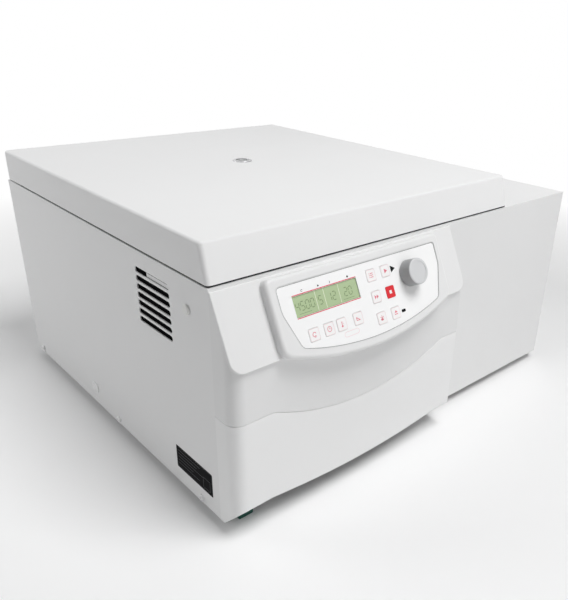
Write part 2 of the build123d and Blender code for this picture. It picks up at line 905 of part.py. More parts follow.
with BuildPart() as rotor_head:
    with BuildSketch(Plane.XY.offset(trunnion_z - web_height / 2)):
        with Locations((rotor_x, rotor_y)):
            Rectangle(2 * web_half, 2 * arm_outer)
            with GridLocations(0, 2 * arm_y, 1, 2):
                Rectangle(2 * arm_half_length, arm_thickness)
    extrude(amount=web_height)
    arm_ends = rotor_head.edges().filter_by(Axis.Z).group_by(Axis.X)
    fillet(arm_ends[0] + arm_ends[-1], arm_thickness / 3)
    with BuildSketch(Plane.XY.offset(hub_bottom)):
        with Locations((rotor_x, rotor_y)):
            Circle(hub_radius)
    extrude(amount=hub_top - hub_bottom)
    with BuildSketch(Plane.XY.offset(hub_bottom)):
        with Locations((rotor_x, rotor_y)):
            Circle(seat_radius)
    extrude(amount=hub_top - hub_bottom, mode=Mode.SUBTRACT)
    for side in (-1, 1):
        with BuildSketch(Plane.XZ.offset(-rotor_y - side * arm_inner)):
            with Locations((rotor_x - trunnion_reach, trunnion_z), (rotor_x + trunnion_reach, trunnion_z)):
                Circle(trunnion_radius)
        extrude(amount=side * (arm_inner - carrier_half_length - pin_tip_gap))
    with BuildSketch(Plane.XY.offset(trunnion_z + web_height / 2)):
        with Locations((rotor_x, rotor_y)):
            with GridLocations(0, hub_radius + arm_inner, 1, 2):
                SlotOverall(arm_inner - 2 * hub_radius, web_half, rotation=90)
    extrude(amount=-web_height, mode=Mode.SUBTRACT)
rotor_head.part.label = "rotor_head"
export_step(rotor_head.part, "parts/rotor_head.step")


with BuildPart() as rotor_nut:
    with BuildSketch(Plane.XY.offset(hub_top)):
        with Locations((rotor_x, rotor_y)):
            Circle(nut_radius)
            with PolarLocations(nut_radius + nut_radius / 6, nut_lobes):
                Circle(nut_radius / 3, mode=Mode.SUBTRACT)
    extrude(amount=nut_height)
    fillet(rotor_nut.faces().sort_by(Axis.Z)[-1].edges(), nut_edge)
    with BuildSketch(Plane.XY.offset(hub_top)):
        with Locations((rotor_x, rotor_y)):
            Circle(thread_radius + running_clearance)
    extrude(amount=thread_length, mode=Mode.SUBTRACT)
rotor_nut.part.label = "rotor_nut"
export_step(rotor_nut.part, "parts/rotor_nut.step")


carrier_floor = trunnion_z - carrier_drop
carrier_top = trunnion_z + carrier_rim

for carrier_name, side in (("plate_carrier_a", 1), ("plate_carrier_b", -1)):
    carrier_x = rotor_x + side * trunnion_reach
    with BuildPart() as plate_carrier:
        with BuildSketch(Plane.XY.offset(carrier_floor - carrier_wall)):
            with Locations((carrier_x, rotor_y)):
                RectangleRounded(2 * carrier_half_width, 2 * carrier_half_length, carrier_corner)
        extrude(amount=carrier_top - carrier_floor + carrier_wall)
        with BuildSketch(Plane.XY.offset(carrier_floor)):
            with Locations((carrier_x, rotor_y)):
                RectangleRounded(plate_width, plate_length, carrier_corner - carrier_wall)
        extrude(amount=carrier_top - carrier_floor, mode=Mode.SUBTRACT)
        # end walls taper up to the trunnions, side walls stay low
        with BuildSketch(Plane.XZ.offset(-rotor_y)):
            with BuildLine():
                Polyline(
                    (carrier_x - carrier_half_width, carrier_floor - carrier_wall),
                    (carrier_x + carrier_half_width, carrier_floor - carrier_wall),
                    (carrier_x + carrier_half_width, carrier_floor + carrier_lip),
                    (carrier_x + carrier_boss_radius + carrier_wall, carrier_top),
                    (carrier_x - carrier_boss_radius - carrier_wall, carrier_top),
                    (carrier_x - carrier_half_width, carrier_floor + carrier_lip),
                    close=True,
                )
            make_face()
        extrude(amount=carrier_half_length, both=True, mode=Mode.INTERSECT)
        with BuildSketch(Plane.YZ.offset(carrier_x)):
            with Locations((rotor_y, carrier_floor + carrier_lip)):
                Rectangle(plate_length - 2 * carrier_corner, carrier_drop, align=(Align.CENTER, Align.MIN))
                Circle(grip_radius)
        extrude(amount=carrier_half_width, both=True, mode=Mode.SUBTRACT)
        for end in (-1, 1):
            with BuildSketch(Plane.XZ.offset(-rotor_y - end * carrier_half_length)):
                with Locations((carrier_x, trunnion_z)):
                    Circle(carrier_boss_radius)
                    Circle(trunnion_radius + running_clearance, mode=Mode.SUBTRACT)
                    Rectangle(
                        2 * (trunnion_radius + running_clearance),
                        2 * carrier_boss_radius,
                        align=(Align.CENTER, Align.MAX),
                        mode=Mode.SUBTRACT,
                    )
            extrude(amount=-end * carrier_boss_thickness)
    plate_carrier.part.label = carrier_name
    export_step(plate_carrier.part, f"parts/{carrier_name}.step")


# ================================================================ cooling unit
with BuildPart() as compressor:
    with BuildSketch(Plane.XY.offset(compressor_z)):
        with Locations((cooling_x, compressor_y)):
            Circle(compressor_radius)
    extrude(amount=compressor_height)
    fillet(compressor.faces().sort_by(Axis.Z)[-1].edges(), compressor_dome)
    with BuildSketch(Plane.XY.offset(compressor_z)):
        with Locations((cooling_x, compressor_y)):
            RectangleRounded(compressor_plate_side, compressor_plate_side, grommet_inset)
    extrude(amount=compressor_plate)
    with Locations((cooling_x, compressor_y - compressor_radius, compressor_z + compressor_height / 2)):
        Box(terminal_width, terminal_depth / 2, terminal_height)
    fillet(compressor.faces().sort_by(Axis.Y)[0].edges(), compressor_plate)
compressor.part.label = "compressor"
export_step(compressor.part, "parts/compressor.step")


fin_pitch = (coil_width - 2 * coil_frame) / (fin_count + 1)
coil_middle = (coil_front + coil_back) / 2

with BuildPart() as condenser_coil:
    with BuildSketch(Plane.XY.offset(coil_bottom)):
        with Locations((cooling_x, coil_middle)):
            with GridLocations(coil_width - coil_frame, 0, 2, 1):
                Rectangle(coil_frame, coil_depth)
            with GridLocations(fin_pitch, 0, fin_count, 1):
                Rectangle(fin_thickness, coil_depth)
            Rectangle(coil_width, coil_tube_radius)
    extrude(amount=coil_height)
    with BuildSketch(Plane.XY.offset(pan_top)):
        with Locations((cooling_x, coil_middle)):
            with GridLocations(coil_width - coil_frame, 0, 2, 1):
                Rectangle(coil_frame, coil_depth)
    extrude(amount=coil_lift)
    # return bends of the tube stand out of the left frame
    with BuildSketch(Plane.YZ.offset(cooling_x - coil_width / 2)):
        with Locations((coil_middle, fan_z)):
            with GridLocations(0, coil_height / coil_tube_rows, 1, coil_tube_rows):
                SlotOverall(coil_depth - 2 * coil_tube_radius, 2 * coil_tube_radius)
    extrude(amount=-coil_tube_radius)
condenser_coil.part.label = "condenser_coil"
export_step(condenser_coil.part, "parts/condenser_coil.step")


shroud_inner = fan_radius + fan_tip_gap
hub_face = fan_y - fan_hub_depth / 2
arm_face = hub_face - fan_float

with BuildPart() as fan_shroud:
    with BuildSketch(Plane.XZ.offset(-coil_back)):
        with Locations((cooling_x, fan_z)):
            Rectangle(coil_width, coil_width)
            Circle(shroud_inner, mode=Mode.SUBTRACT)
    extrude(amount=-shroud_wall)
    with BuildSketch(Plane.XZ.offset(-coil_back)):
        with Locations((cooling_x, fan_z)):
            Circle(shroud_inner + shroud_wall)
            Circle(shroud_inner, mode=Mode.SUBTRACT)
    extrude(amount=-(y_rear - sheet - coil_back))
    with BuildSketch(Plane.XZ.offset(-arm_face)):
        with Locations((cooling_x, fan_z)):
            Rectangle(2 * shroud_inner + shroud_wall, fan_arm_width)
            Rectangle(fan_arm_width, 2 * shroud_inner + shroud_wall)
    extrude(amount=fan_arm_thickness)
    with BuildSketch(Plane.XZ.offset(-arm_face)):
        with Locations((cooling_x, fan_z)):
            Circle(fan_hub_radius - fan_spindle_radius)
    extrude(amount=fan_motor_depth)
    with BuildSketch(Plane.XZ.offset(-arm_face)):
        with Locations((cooling_x, fan_z)):
            Circle(fan_spindle_radius)
    extrude(amount=-fan_spindle_length)
fan_shroud.part.label = "fan_shroud"
export_step(fan_shroud.part, "parts/fan_shroud.step")


blade_reach = fan_radius - fan_hub_radius / 2
blade_chord = fan_hub_depth / sin(radians(fan_blade_angle))
fan_front = Plane(origin=(cooling_x, hub_face, fan_z), x_dir=(1, 0, 0), z_dir=(0, 1, 0))

with BuildPart() as fan_sweep:
    with BuildSketch(fan_front):
        Circle(fan_radius)
    extrude(amount=fan_hub_depth)

with BuildPart() as fan_hub:
    with BuildSketch(fan_front):
        Circle(fan_hub_radius)
    extrude(amount=fan_hub_depth)
    fillet(fan_hub.faces().sort_by(Axis.Y)[-1].edges(), fan_blade_thickness)

with BuildPart() as condenser_fan:
    with Locations(fan_front.offset(fan_hub_depth / 2)):
        with PolarLocations(fan_hub_radius / 2 + blade_reach / 2, fan_blades):
            Box(blade_reach, blade_chord, fan_blade_thickness, rotation=(fan_blade_angle, 0, 0))
    add(fan_sweep.part, mode=Mode.INTERSECT)
    add(fan_hub.part)
    with BuildSketch(fan_front):
        Circle(fan_spindle_radius + running_clearance)
    extrude(amount=fan_spindle_length, mode=Mode.SUBTRACT)
condenser_fan.part.label = "condenser_fan"
export_step(condenser_fan.part, "parts/condenser_fan.step")


# discharge line up and over to the condenser, suction line from the lowest turn round the chamber
pipe_x = cooling_x + compressor_radius / 3
discharge_points = [
    (pipe_x, compressor_y, compressor_z + compressor_height),
    (pipe_x, compressor_y, coil_bottom + coil_height + pipe_rise),
    (pipe_x, coil_middle, coil_bottom + coil_height + pipe_rise),
    (pipe_x, coil_middle, coil_bottom + coil_height),
]
suction_x = cooling_x - compressor_radius / 3
suction_entry = compressor_z + compressor_height / 3
suction_face = compressor_y + sqrt(compressor_radius**2 - (cooling_x - suction_x) ** 2)
suction_points = [
    (rotor_x + coil_outer + coil_gap, rotor_y, suction_z),
    (suction_x, rotor_y, suction_z),
    (suction_x, rotor_y, suction_entry),
    (suction_x, suction_face + coil_gap + pipe_radius / 2, suction_entry),
]

with BuildPart() as refrigerant_lines:
    # flattened tube wound round the chamber
    for height in coil_heights:
        with BuildSketch(Plane.XY.offset(height - coil_section / 2)):
            with Locations((rotor_x, rotor_y)):
                Circle(coil_outer)
                Circle(coil_inner, mode=Mode.SUBTRACT)
        extrude(amount=coil_section)
    for points, direction in ((discharge_points, (0, 0, 1)), (suction_points, (1, 0, 0))):
        with BuildLine() as pipe_route:
            FilletPolyline(*points, radius=pipe_bend)
        with BuildSketch(Plane(origin=points[0], z_dir=direction)):
            Circle(pipe_radius)
        sweep(path=pipe_route.wires()[0])
refrigerant_lines.part.label = "refrigerant_lines"
export_step(refrigerant_lines.part, "parts/refrigerant_lines.step")


# ================================================================ electrics
socket_plane = Plane.XZ.offset(-y_rear)
rocker_swing = rocker_height / 2 * sin(radians(rocker_tilt))

with BuildPart() as power_inlet:
    with BuildSketch(socket_plane):
        with Locations((inlet_x, inlet_z)):
            RectangleRounded(inlet_flange_width, inlet_flange_height, sheet)
        with Locations((switch_x, inlet_z)):
            RectangleRounded(switch_body_width + 2 * sheet, inlet_flange_height, sheet)
        with Locations(((inlet_x + switch_x) / 2, inlet_z)):
            Rectangle(switch_shift, inlet_flange_height)
    extrude(amount=-inlet_flange_thickness)
    with BuildSketch(socket_plane):
        with Locations((inlet_x, inlet_z)):
            Rectangle(inlet_body_width, inlet_body_height)
    extrude(amount=inlet_body_depth)
    with BuildSketch(socket_plane):
        with Locations((switch_x, inlet_z)):
            Rectangle(switch_body_width, switch_body_height)
    extrude(amount=switch_depth)
    # the socket and the well of the rocker
    with BuildSketch(Plane.XZ.offset(-y_rear - inlet_flange_thickness)):
        with Locations((inlet_x, inlet_z)):
            Rectangle(inlet_socket_width, inlet_socket_height)
    extrude(amount=inlet_flange_thickness + inlet_socket_depth, mode=Mode.SUBTRACT)
    with BuildSketch(Plane.XZ.offset(-y_rear - inlet_flange_thickness)):
        with Locations((switch_x, inlet_z)):
            Rectangle(rocker_width + 2 * rocker_play, rocker_height + 2 * rocker_play)
    extrude(amount=inlet_flange_thickness + rocker_sink + rocker_play + rocker_swing, mode=Mode.SUBTRACT)
    with BuildSketch(Plane.XZ.offset(-y_rear + inlet_socket_depth)):
        with Locations(
            (inlet_x - inlet_pin_spread, inlet_z + inlet_pin_rise - inlet_pin_thickness),
            (inlet_x + inlet_pin_spread, inlet_z + inlet_pin_rise - inlet_pin_thickness),
            (inlet_x, inlet_z + inlet_pin_rise + inlet_pin_thickness),
        ):
            Rectangle(inlet_pin_thickness, inlet_pin_width)
    extrude(amount=-inlet_pin_length)
power_inlet.part.label = "power_inlet"
export_step(power_inlet.part, "parts/power_inlet.step")


rocker_dish = rocker_height / 2 * tan(radians(rocker_tilt))
rocker_pivot = y_rear + inlet_flange_thickness + rocker_proud - rocker_dish - sheet - rocker_sink / 2
rocker_side = Plane(
    origin=(switch_x - rocker_width / 2, rocker_pivot, inlet_z),
    x_dir=(0, cos(radians(rocker_tilt)), -sin(radians(rocker_tilt))),
    z_dir=(1, 0, 0),
)

with BuildPart() as rocker_round:
    with BuildSketch(rocker_side):
        Circle(rocker_height / 2)
    extrude(amount=rocker_width)

with BuildPart() as rocker_switch:
    # dished face, lying with its lower half pressed in
    with BuildSketch(rocker_side):
        with BuildLine():
            Polyline(
                (y_rear - rocker_sink - rocker_pivot, -rocker_height / 2),
                (rocker_sink / 2 + rocker_dish, -rocker_height / 2),
                (rocker_sink / 2, 0),
                (rocker_sink / 2 + rocker_dish, rocker_height / 2),
                (y_rear - rocker_sink - rocker_pivot, rocker_height / 2),
                close=True,
            )
        make_face()
    extrude(amount=rocker_width)
    add(rocker_round.part, mode=Mode.INTERSECT)
rocker_switch.part.label = "rocker_switch"
export_step(rocker_switch.part, "parts/rocker_switch.step")


drive_x = x_left + sheet + drive_gap
drive_y = y_front + drive_setback + drive_length / 2
drive_board_x = drive_x + drive_base + drive_board_gap

with BuildPart() as motor_drive:
    with BuildSketch(Plane.XY.offset(pan_top)):
        with Locations((drive_x + drive_base / 2, drive_y)):
            Rectangle(drive_base, drive_length)
        with Locations((drive_x - drive_fin_depth / 2, drive_y)):
            with GridLocations(0, drive_length / drive_fin_count, 1, drive_fin_count):
                Rectangle(drive_fin_depth, drive_fin_thickness)
    extrude(amount=drive_height)
    with BuildSketch(Plane.YZ.offset(drive_board_x)):
        with Locations((drive_y, pan_top + drive_height / 2)):
            Rectangle(drive_length, drive_height - 2 * drive_board_gap)
    extrude(amount=board_thickness)
    with BuildSketch(Plane.YZ.offset(drive_x + drive_base)):
        with Locations((drive_y, pan_top + drive_height / 2)):
            with GridLocations(drive_length * drive_boss_share, drive_height * drive_boss_share, 2, 2):
                Circle(board_boss_radius)
    extrude(amount=drive_board_gap)
    with BuildSketch(Plane.YZ.offset(drive_board_x + board_thickness)):
        with Locations((drive_y, pan_top + drive_height / 3)):
            with GridLocations(3 * capacitor_radius, 3 * capacitor_radius, 2, 2):
                Circle(capacitor_radius)
    extrude(amount=capacitor_length)
motor_drive.part.label = "motor_drive"
export_step(motor_drive.part, "parts/motor_drive.step")


# ================================================================ hinges
with BuildPart() as hinge_brackets:
    for hinge_x in hinge_xs:
        with BuildSketch(Plane.XY.offset(deck_under)):
            with Locations((hinge_x, y_rear - 2 * sheet - bracket_foot_depth / 2)):
                Rectangle(bracket_foot_width, bracket_foot_depth)
        extrude(amount=-bracket_foot_thickness)
        with BuildSketch(Plane.XY.offset(deck_under)):
            with Locations((hinge_x, hinge_y)):
                Rectangle(post_width, post_thickness)
        extrude(amount=hinge_z - deck_under)
        with BuildSketch(Plane.YZ.offset(hinge_x)):
            with Locations((hinge_y, hinge_z)):
                Circle(hinge_boss_radius)
        extrude(amount=post_width / 2, both=True)
        with BuildSketch(Plane.YZ.offset(hinge_x)):
            with Locations((hinge_y, hinge_z)):
                Circle(hinge_pin_radius + running_clearance)
        extrude(amount=post_width, both=True, mode=Mode.SUBTRACT)
hinge_brackets.part.label = "hinge_brackets"
export_step(hinge_brackets.part, "parts/hinge_brackets.step")


ear_gap = post_width / 2 + ear_play
leaf_top = lid_top - lid_wall
leaf_half = ear_gap + ear_thickness

with BuildPart() as hinge_leaves:
    for hinge_x in hinge_xs:
        with BuildSketch(Plane.XY.offset(leaf_top)):
            with Locations((hinge_x, hinge_y)):
                Rectangle(2 * leaf_half, 2 * hinge_boss_radius)
        extrude(amount=-lid_wall)
        for side in (-1, 1):
            with BuildSketch(Plane.YZ.offset(hinge_x + side * ear_gap)):
                with Locations((hinge_y, hinge_z)):
                    Circle(hinge_boss_radius)
                    Rectangle(
                        2 * hinge_boss_radius, leaf_top - hinge_z, align=(Align.CENTER, Align.MIN)
                    )
                    Circle(hinge_pin_radius, mode=Mode.SUBTRACT)
            extrude(amount=side * ear_thickness)
hinge_leaves.part.label = "hinge_leaves"
export_step(hinge_leaves.part, "parts/hinge_leaves.step")


with BuildPart() as hinge_pins:
    for hinge_x in hinge_xs:
        with BuildSketch(Plane.YZ.offset(hinge_x)):
            with Locations((hinge_y, hinge_z)):
                Circle(hinge_pin_radius)
        extrude(amount=leaf_half, both=True)
hinge_pins.part.label = "hinge_pins"
export_step(hinge_pins.part, "parts/hinge_pins.step")


# ================================================================ lid
rib_front = lid_front + rib_end_clearance
rib_rear = lid_rear - rib_end_clearance
notch_width = post_width + 2 * notch_play
hollow_front = lid_front + lid_wall * hypot(lid_lean, lid_height) / lid_height

with BuildPart() as lid_shell:
    with BuildSketch(Plane.YZ.offset(lid_left)):
        with BuildLine():
            Polyline(
                (lid_front, lid_bottom),
                (lid_front + lid_lean, lid_top),
                (lid_rear, lid_top),
                (lid_rear, lid_bottom),
                close=True,
            )
        make_face()
    extrude(amount=lid_width)
    upright = lid_shell.edges().filter_by(Axis.X, reverse=True).filter_by(Axis.Y, reverse=True)
    fillet(upright, lid_corner)
    fillet(lid_shell.faces().sort_by(Axis.Z)[-1].edges(), lid_edge)
    with BuildPart(mode=Mode.SUBTRACT) as hollow:
        with BuildSketch(Plane.YZ.offset(lid_left + lid_wall)):
            with BuildLine():
                Polyline(
                    (hollow_front, lid_bottom),
                    (hollow_front + lid_lean * (lid_height - lid_wall) / lid_height, lid_top - lid_wall),
                    (lid_rear - lid_wall, lid_top - lid_wall),
                    (lid_rear - lid_wall, lid_bottom),
                    close=True,
                )
            make_face()
        extrude(amount=lid_width - 2 * lid_wall)
        upright = hollow.edges().filter_by(Axis.X, reverse=True).filter_by(Axis.Y, reverse=True)
        fillet(upright, lid_corner - lid_wall)
    with BuildSketch(Plane.XY.offset(liner_top)):
        with Locations((lid_x, (rib_front + rib_rear) / 2)):
            with GridLocations(2 * rib_spread, 0, 2, 1):
                Rectangle(lid_rib, rib_rear - rib_front)
        with Locations((lid_x, rotor_y)):
            with GridLocations(0, 2 * rib_spread, 1, 2):
                Rectangle(lid_width - 2 * rib_end_clearance, lid_rib)
    extrude(amount=leaf_top - liner_top)
    with BuildSketch(Plane.XZ.offset(-hinge_y)):
        with Locations(*[(x, lid_bottom) for x in hinge_xs]):
            Rectangle(notch_width, hinge_rise + notch_rise, align=(Align.CENTER, Align.MIN))
    extrude(amount=-2 * hinge_setback, mode=Mode.SUBTRACT)
    with BuildSketch(Plane.XY.offset(lid_top)):
        with Locations((rotor_x, rotor_y)):
            Circle(sight_radius + sight_neck)
    extrude(amount=-2 * lid_wall, mode=Mode.SUBTRACT)
lid_shell.part.label = "lid_shell"
export_step(lid_shell.part, "parts/lid_shell.step")


liner_front = lid_front + lid_lean * (liner_top - lid_bottom) / lid_height + lid_wall + 2 * panel_play
liner_rear = lid_rear - lid_wall - panel_play
liner_width = lid_width - 2 * (lid_wall + panel_play)
bulge_radius = bowl_radius - chamber_gap

with BuildPart() as lid_liner:
    with BuildSketch(Plane.XY.offset(liner_bottom)):
        with Locations((lid_x, (liner_front + liner_rear) / 2)):
            RectangleRounded(liner_width, liner_rear - liner_front, lid_corner)
        with Locations(*[(x, liner_rear) for x in hinge_xs]):
            Rectangle(
                notch_width,
                liner_rear - hinge_y + post_thickness / 2 + notch_play,
                align=(Align.CENTER, Align.MAX),
                mode=Mode.SUBTRACT,
            )
    extrude(amount=liner_thickness)
    with BuildSketch(Plane.XY.offset(liner_bottom)):
        with Locations((rotor_x, rotor_y)):
            Circle(bulge_radius)
    extrude(amount=-liner_bulge, taper=bulge_taper)
    with BuildSketch(Plane.XY.offset(liner_top)):
        with Locations((rotor_x, rotor_y)):
            Circle(bulge_radius - liner_thickness)
    extrude(amount=-liner_bulge, taper=bulge_taper, mode=Mode.SUBTRACT)
    with BuildSketch(Plane.XY.offset(liner_top)):
        with Locations((rotor_x, rotor_y)):
            Circle(sight_radius + running_clearance)
    extrude(amount=-liner_bulge - liner_thickness, mode=Mode.SUBTRACT)
lid_liner.part.label = "lid_liner"
export_step(lid_liner.part, "parts/lid_liner.step")


gasket_rear = hinge_y - hinge_setback - hinge_rise


def seal_strip(inset, width):
    """Strip of the given width that follows the front and both sides of the lid, drawn in by inset."""
    with BuildSketch(Plane.XY, mode=Mode.PRIVATE) as strip:
        with Locations((lid_x, lid_front + inset)):
            Rectangle(
                lid_width - 2 * inset, gasket_rear - lid_front - inset, align=(Align.CENTER, Align.MIN)
            )
        with Locations((lid_x, lid_front + inset + width)):
            Rectangle(
                lid_width - 2 * inset - 2 * width,
                gasket_rear - lid_front,
                align=(Align.CENTER, Align.MIN),
                mode=Mode.SUBTRACT,
            )
    return strip.sketch


with BuildPart() as lid_gasket:
    with BuildSketch(Plane.XY.offset(lid_bottom)):
        add(seal_strip(edge_gasket_inset, edge_gasket_width))
    extrude(amount=edge_gasket_clearance - lid_gap)
    with BuildSketch(Plane.XY.offset(lid_bottom)):
        add(seal_strip(edge_gasket_inset + edge_gasket_step, edge_gasket_width - edge_gasket_step))
    extrude(amount=liner_rise)
lid_gasket.part.label = "lid_gasket"
export_step(lid_gasket.part, "parts/lid_gasket.step")


with BuildPart() as sight_glass:
    with BuildSketch(Plane.XY.offset(liner_bottom - liner_bulge)):
        with Locations((rotor_x, rotor_y)):
            Circle(sight_radius)
    extrude(amount=lid_top - liner_bottom + liner_bulge + sight_ring_height / 2)
sight_glass.part.label = "sight_glass"
export_step(sight_glass.part, "parts/sight_glass.step")


with BuildPart() as sight_glass_ring:
    with BuildSketch(Plane.XY.offset(lid_top)):
        with Locations((rotor_x, rotor_y)):
            Circle(sight_ring_radius)
    extrude(amount=sight_ring_height)
    fillet(sight_glass_ring.faces().sort_by(Axis.Z)[-1].edges(), sight_ring_height / 2)
    with BuildSketch(Plane.XY.offset(lid_top)):
        with Locations((rotor_x, rotor_y)):
            Circle(sight_radius + sight_neck)
    extrude(amount=-lid_wall)
    with BuildSketch(Plane.XY.offset(lid_top + sight_ring_height)):
        with Locations((rotor_x, rotor_y)):
            Circle(sight_radius + running_clearance)
    extrude(amount=-sight_ring_height - lid_wall, mode=Mode.SUBTRACT)
sight_glass_ring.part.label = "sight_glass_ring"
export_step(sight_glass_ring.part, "parts/sight_glass_ring.step")


# ================================================================ lock
striker_foot = chamber_gap / 2

with BuildPart() as lid_strikers:
    for latch_x in latch_xs:
        with BuildSketch(Plane.XZ.offset(-lock_y)):
            with Locations((latch_x, striker_z - striker_bar / 2)):
                Rectangle(
                    striker_width, liner_bottom - striker_z + striker_bar / 2, align=(Align.CENTER, Align.MIN)
                )
            with Locations((latch_x, striker_z + striker_bar / 2)):
                Rectangle(
                    striker_width - 2 * striker_bar,
                    liner_bottom - striker_foot - striker_z - striker_bar / 2,
                    align=(Align.CENTER, Align.MIN),
                    mode=Mode.SUBTRACT,
                )
        extrude(amount=striker_bar / 2, both=True)
        with BuildSketch(Plane.XY.offset(liner_bottom)):
            with Locations((latch_x, lock_y)):
                RectangleRounded(latch_slot_width, latch_slot_depth / 2, striker_bar)
        extrude(amount=-striker_foot)
lid_strikers.part.label = "lid_strikers"
export_step(lid_strikers.part, "parts/lid_strikers.step")


lock_half = latch_spread + lock_overhang
lock_bottom = latch_z - lock_below_shaft

with BuildPart() as lock_frame:
    with BuildSketch(Plane.XY.offset(lock_bottom)):
        with Locations((lid_x, lock_y + (lock_depth_rear - lock_depth_front) / 2)):
            Rectangle(2 * lock_half + 2 * lock_plate, lock_depth_front + lock_depth_rear)
        with Locations((lid_x, lock_y - lock_depth_front)):
            Rectangle(
                2 * lock_half,
                lock_depth_front + lock_depth_rear - lock_plate,
                align=(Align.CENTER, Align.MIN),
                mode=Mode.SUBTRACT,
            )
    extrude(amount=deck_under - lock_bottom)
    with BuildSketch(Plane.YZ.offset(lid_x + lock_half + lock_plate)):
        with Locations((lock_y, latch_z)):
            Circle(lock_motor_radius - sheet)
    extrude(amount=lock_motor_length)
    with BuildSketch(Plane.YZ.offset(lid_x - lock_half - lock_plate)):
        with Locations((lock_y, latch_z)):
            Circle(latch_shaft_radius + running_clearance)
    extrude(amount=2 * lock_half + 3 * lock_plate + hook_width, mode=Mode.SUBTRACT)
lock_frame.part.label = "lock_frame"
export_step(lock_frame.part, "parts/lock_frame.step")


hook_sweep_start = radians(hook_start)
hook_sweep_end = radians(hook_end)
hook_far = 2 * hook_outer_radius

with BuildPart() as latch_shaft:
    with BuildSketch(Plane.YZ.offset(lid_x - lock_half - lock_plate)):
        with Locations((lock_y, latch_z)):
            Circle(latch_shaft_radius)
    extrude(amount=2 * lock_half + 3 * lock_plate + hook_width - panel_play)
    for latch_x in latch_xs:
        with BuildSketch(Plane.YZ.offset(latch_x)):
            with Locations((lock_y, latch_z)):
                Circle(hook_outer_radius)
                Circle(hook_inner_radius, mode=Mode.SUBTRACT)
            with BuildLine():
                Polyline(
                    (lock_y, latch_z),
                    (lock_y + hook_far * cos(hook_sweep_start), latch_z + hook_far * sin(hook_sweep_start)),
                    (lock_y + hook_far * cos(hook_sweep_end), latch_z + hook_far * sin(hook_sweep_end)),
                    close=True,
                )
            make_face(mode=Mode.INTERSECT)
            with Locations((lock_y, latch_z)):
                Circle(hook_hub_radius)
                Rectangle(
                    (hook_inner_radius + hook_outer_radius) / 2,
                    hook_outer_radius - hook_inner_radius,
                    rotation=hook_start + hook_arm_lead,
                    align=(Align.MIN, Align.CENTER),
                )
                Circle(latch_shaft_radius + running_clearance, mode=Mode.SUBTRACT)
        extrude(amount=hook_width / 2, both=True)
latch_shaft.part.label = "latch_shaft"
export_step(latch_shaft.part, "parts/latch_shaft.step")


# ================================================================ front moulding
def fascia_plan(inset):
    """Plan of the front moulding with rounded front corners, drawn in from its outer face by inset."""
    with BuildSketch(Plane.XY, mode=Mode.PRIVATE) as plan:
        with Locations((fascia_x, y_front)):
            Rectangle(fascia_width - 2 * inset, fascia_depth - inset, align=(Align.CENTER, Align.MAX))
        for end, radius in ((0, fascia_corner), (-1, fascia_far_corner)):
            fillet(plan.vertices().group_by(Axis.Y)[0].sort_by(Axis.X)[end], radius - inset)
    return plan.sketch


def below_wave(level, dip):
    """Everything under a level line that bows down between two short flats, seen from the front."""
    left = fascia_x - fascia_width / 2
    right = fascia_x + fascia_width / 2
    low_start = (left + seam_left_flat, level)
    low_end = (right - seam_right_flat, level)
    with BuildSketch(Plane.XY, mode=Mode.PRIVATE) as under:
        with BuildLine():
            Line((left - fascia_wall, level), low_start)
            ThreePointArc(low_start, ((low_start[0] + low_end[0]) / 2, level - dip), low_end)
            Polyline(
                low_end,
                (right + fascia_wall, level),
                (right + fascia_wall, -cabinet_height),
                (left - fascia_wall, -cabinet_height),
                (left - fascia_wall, level),
            )
        make_face()
    return under.sketch


def under_chin(rise):
    """Sloping cut under the moulding, its front edge bowed down between the flats."""
    start = Plane.XZ.offset(fascia_wall - fascia_front)
    with BuildSketch(start) as below:
        add(below_wave(z_floor + chin_height + rise + fascia_wall, chin_dip))
    extrude(below.sketch, amount=3 * fascia_depth, dir=(0, 1, -1), mode=Mode.SUBTRACT)


fascia_low = seam_z - seam_dip

with BuildPart() as fascia_upper:
    with BuildSketch(Plane.XY.offset(fascia_low)):
        add(fascia_plan(0))
        add(fascia_plan(fascia_wall), mode=Mode.SUBTRACT)
    extrude(amount=visor_top_z - fascia_low)
    # the wall stops behind the sloping visor
    with BuildSketch(on_panel(-visor_thickness)):
        Rectangle(2 * fascia_width, 2 * fascia_width)
    extrude(amount=fascia_width, mode=Mode.SUBTRACT)
    with BuildSketch(on_panel(-visor_thickness)) as visor_outline:
        Rectangle(fascia_width, visor_length, align=(Align.CENTER, Align.MAX))
        fillet(visor_outline.vertices().group_by(Axis.Y)[0], visor_corner)
    extrude(amount=visor_thickness)
    fillet(fascia_upper.faces().sort_by(panel_normal)[-1].edges(), visor_edge)
    with BuildSketch(Plane.XZ.offset(-y_front)):
        with Locations((fascia_x, z_deck)):
            Rectangle(2 * fascia_width, fascia_width)
    extrude(amount=-fascia_depth, mode=Mode.SUBTRACT)
    with BuildSketch(Plane.XZ.offset(-y_front)):
        add(below_wave(seam_z, seam_dip))
    extrude(amount=2 * fascia_depth, both=True, mode=Mode.SUBTRACT)
    with BuildSketch(on_panel(0)):
        with Locations(panel_point(0, (board_top + visor_length) / 2)):
            SlotOverall(cable_slot_length, cable_slot_width)
    extrude(amount=-2 * visor_thickness, mode=Mode.SUBTRACT)
fascia_upper.part.label = "fascia_upper"
export_step(fascia_upper.part, "parts/fascia_upper.step")


with BuildPart() as fascia_lower_core:
    with BuildSketch(Plane.XY.offset(z_floor)):
        add(fascia_plan(fascia_wall))
    extrude(amount=cabinet_height)
    under_chin(fascia_wall * sqrt(2))

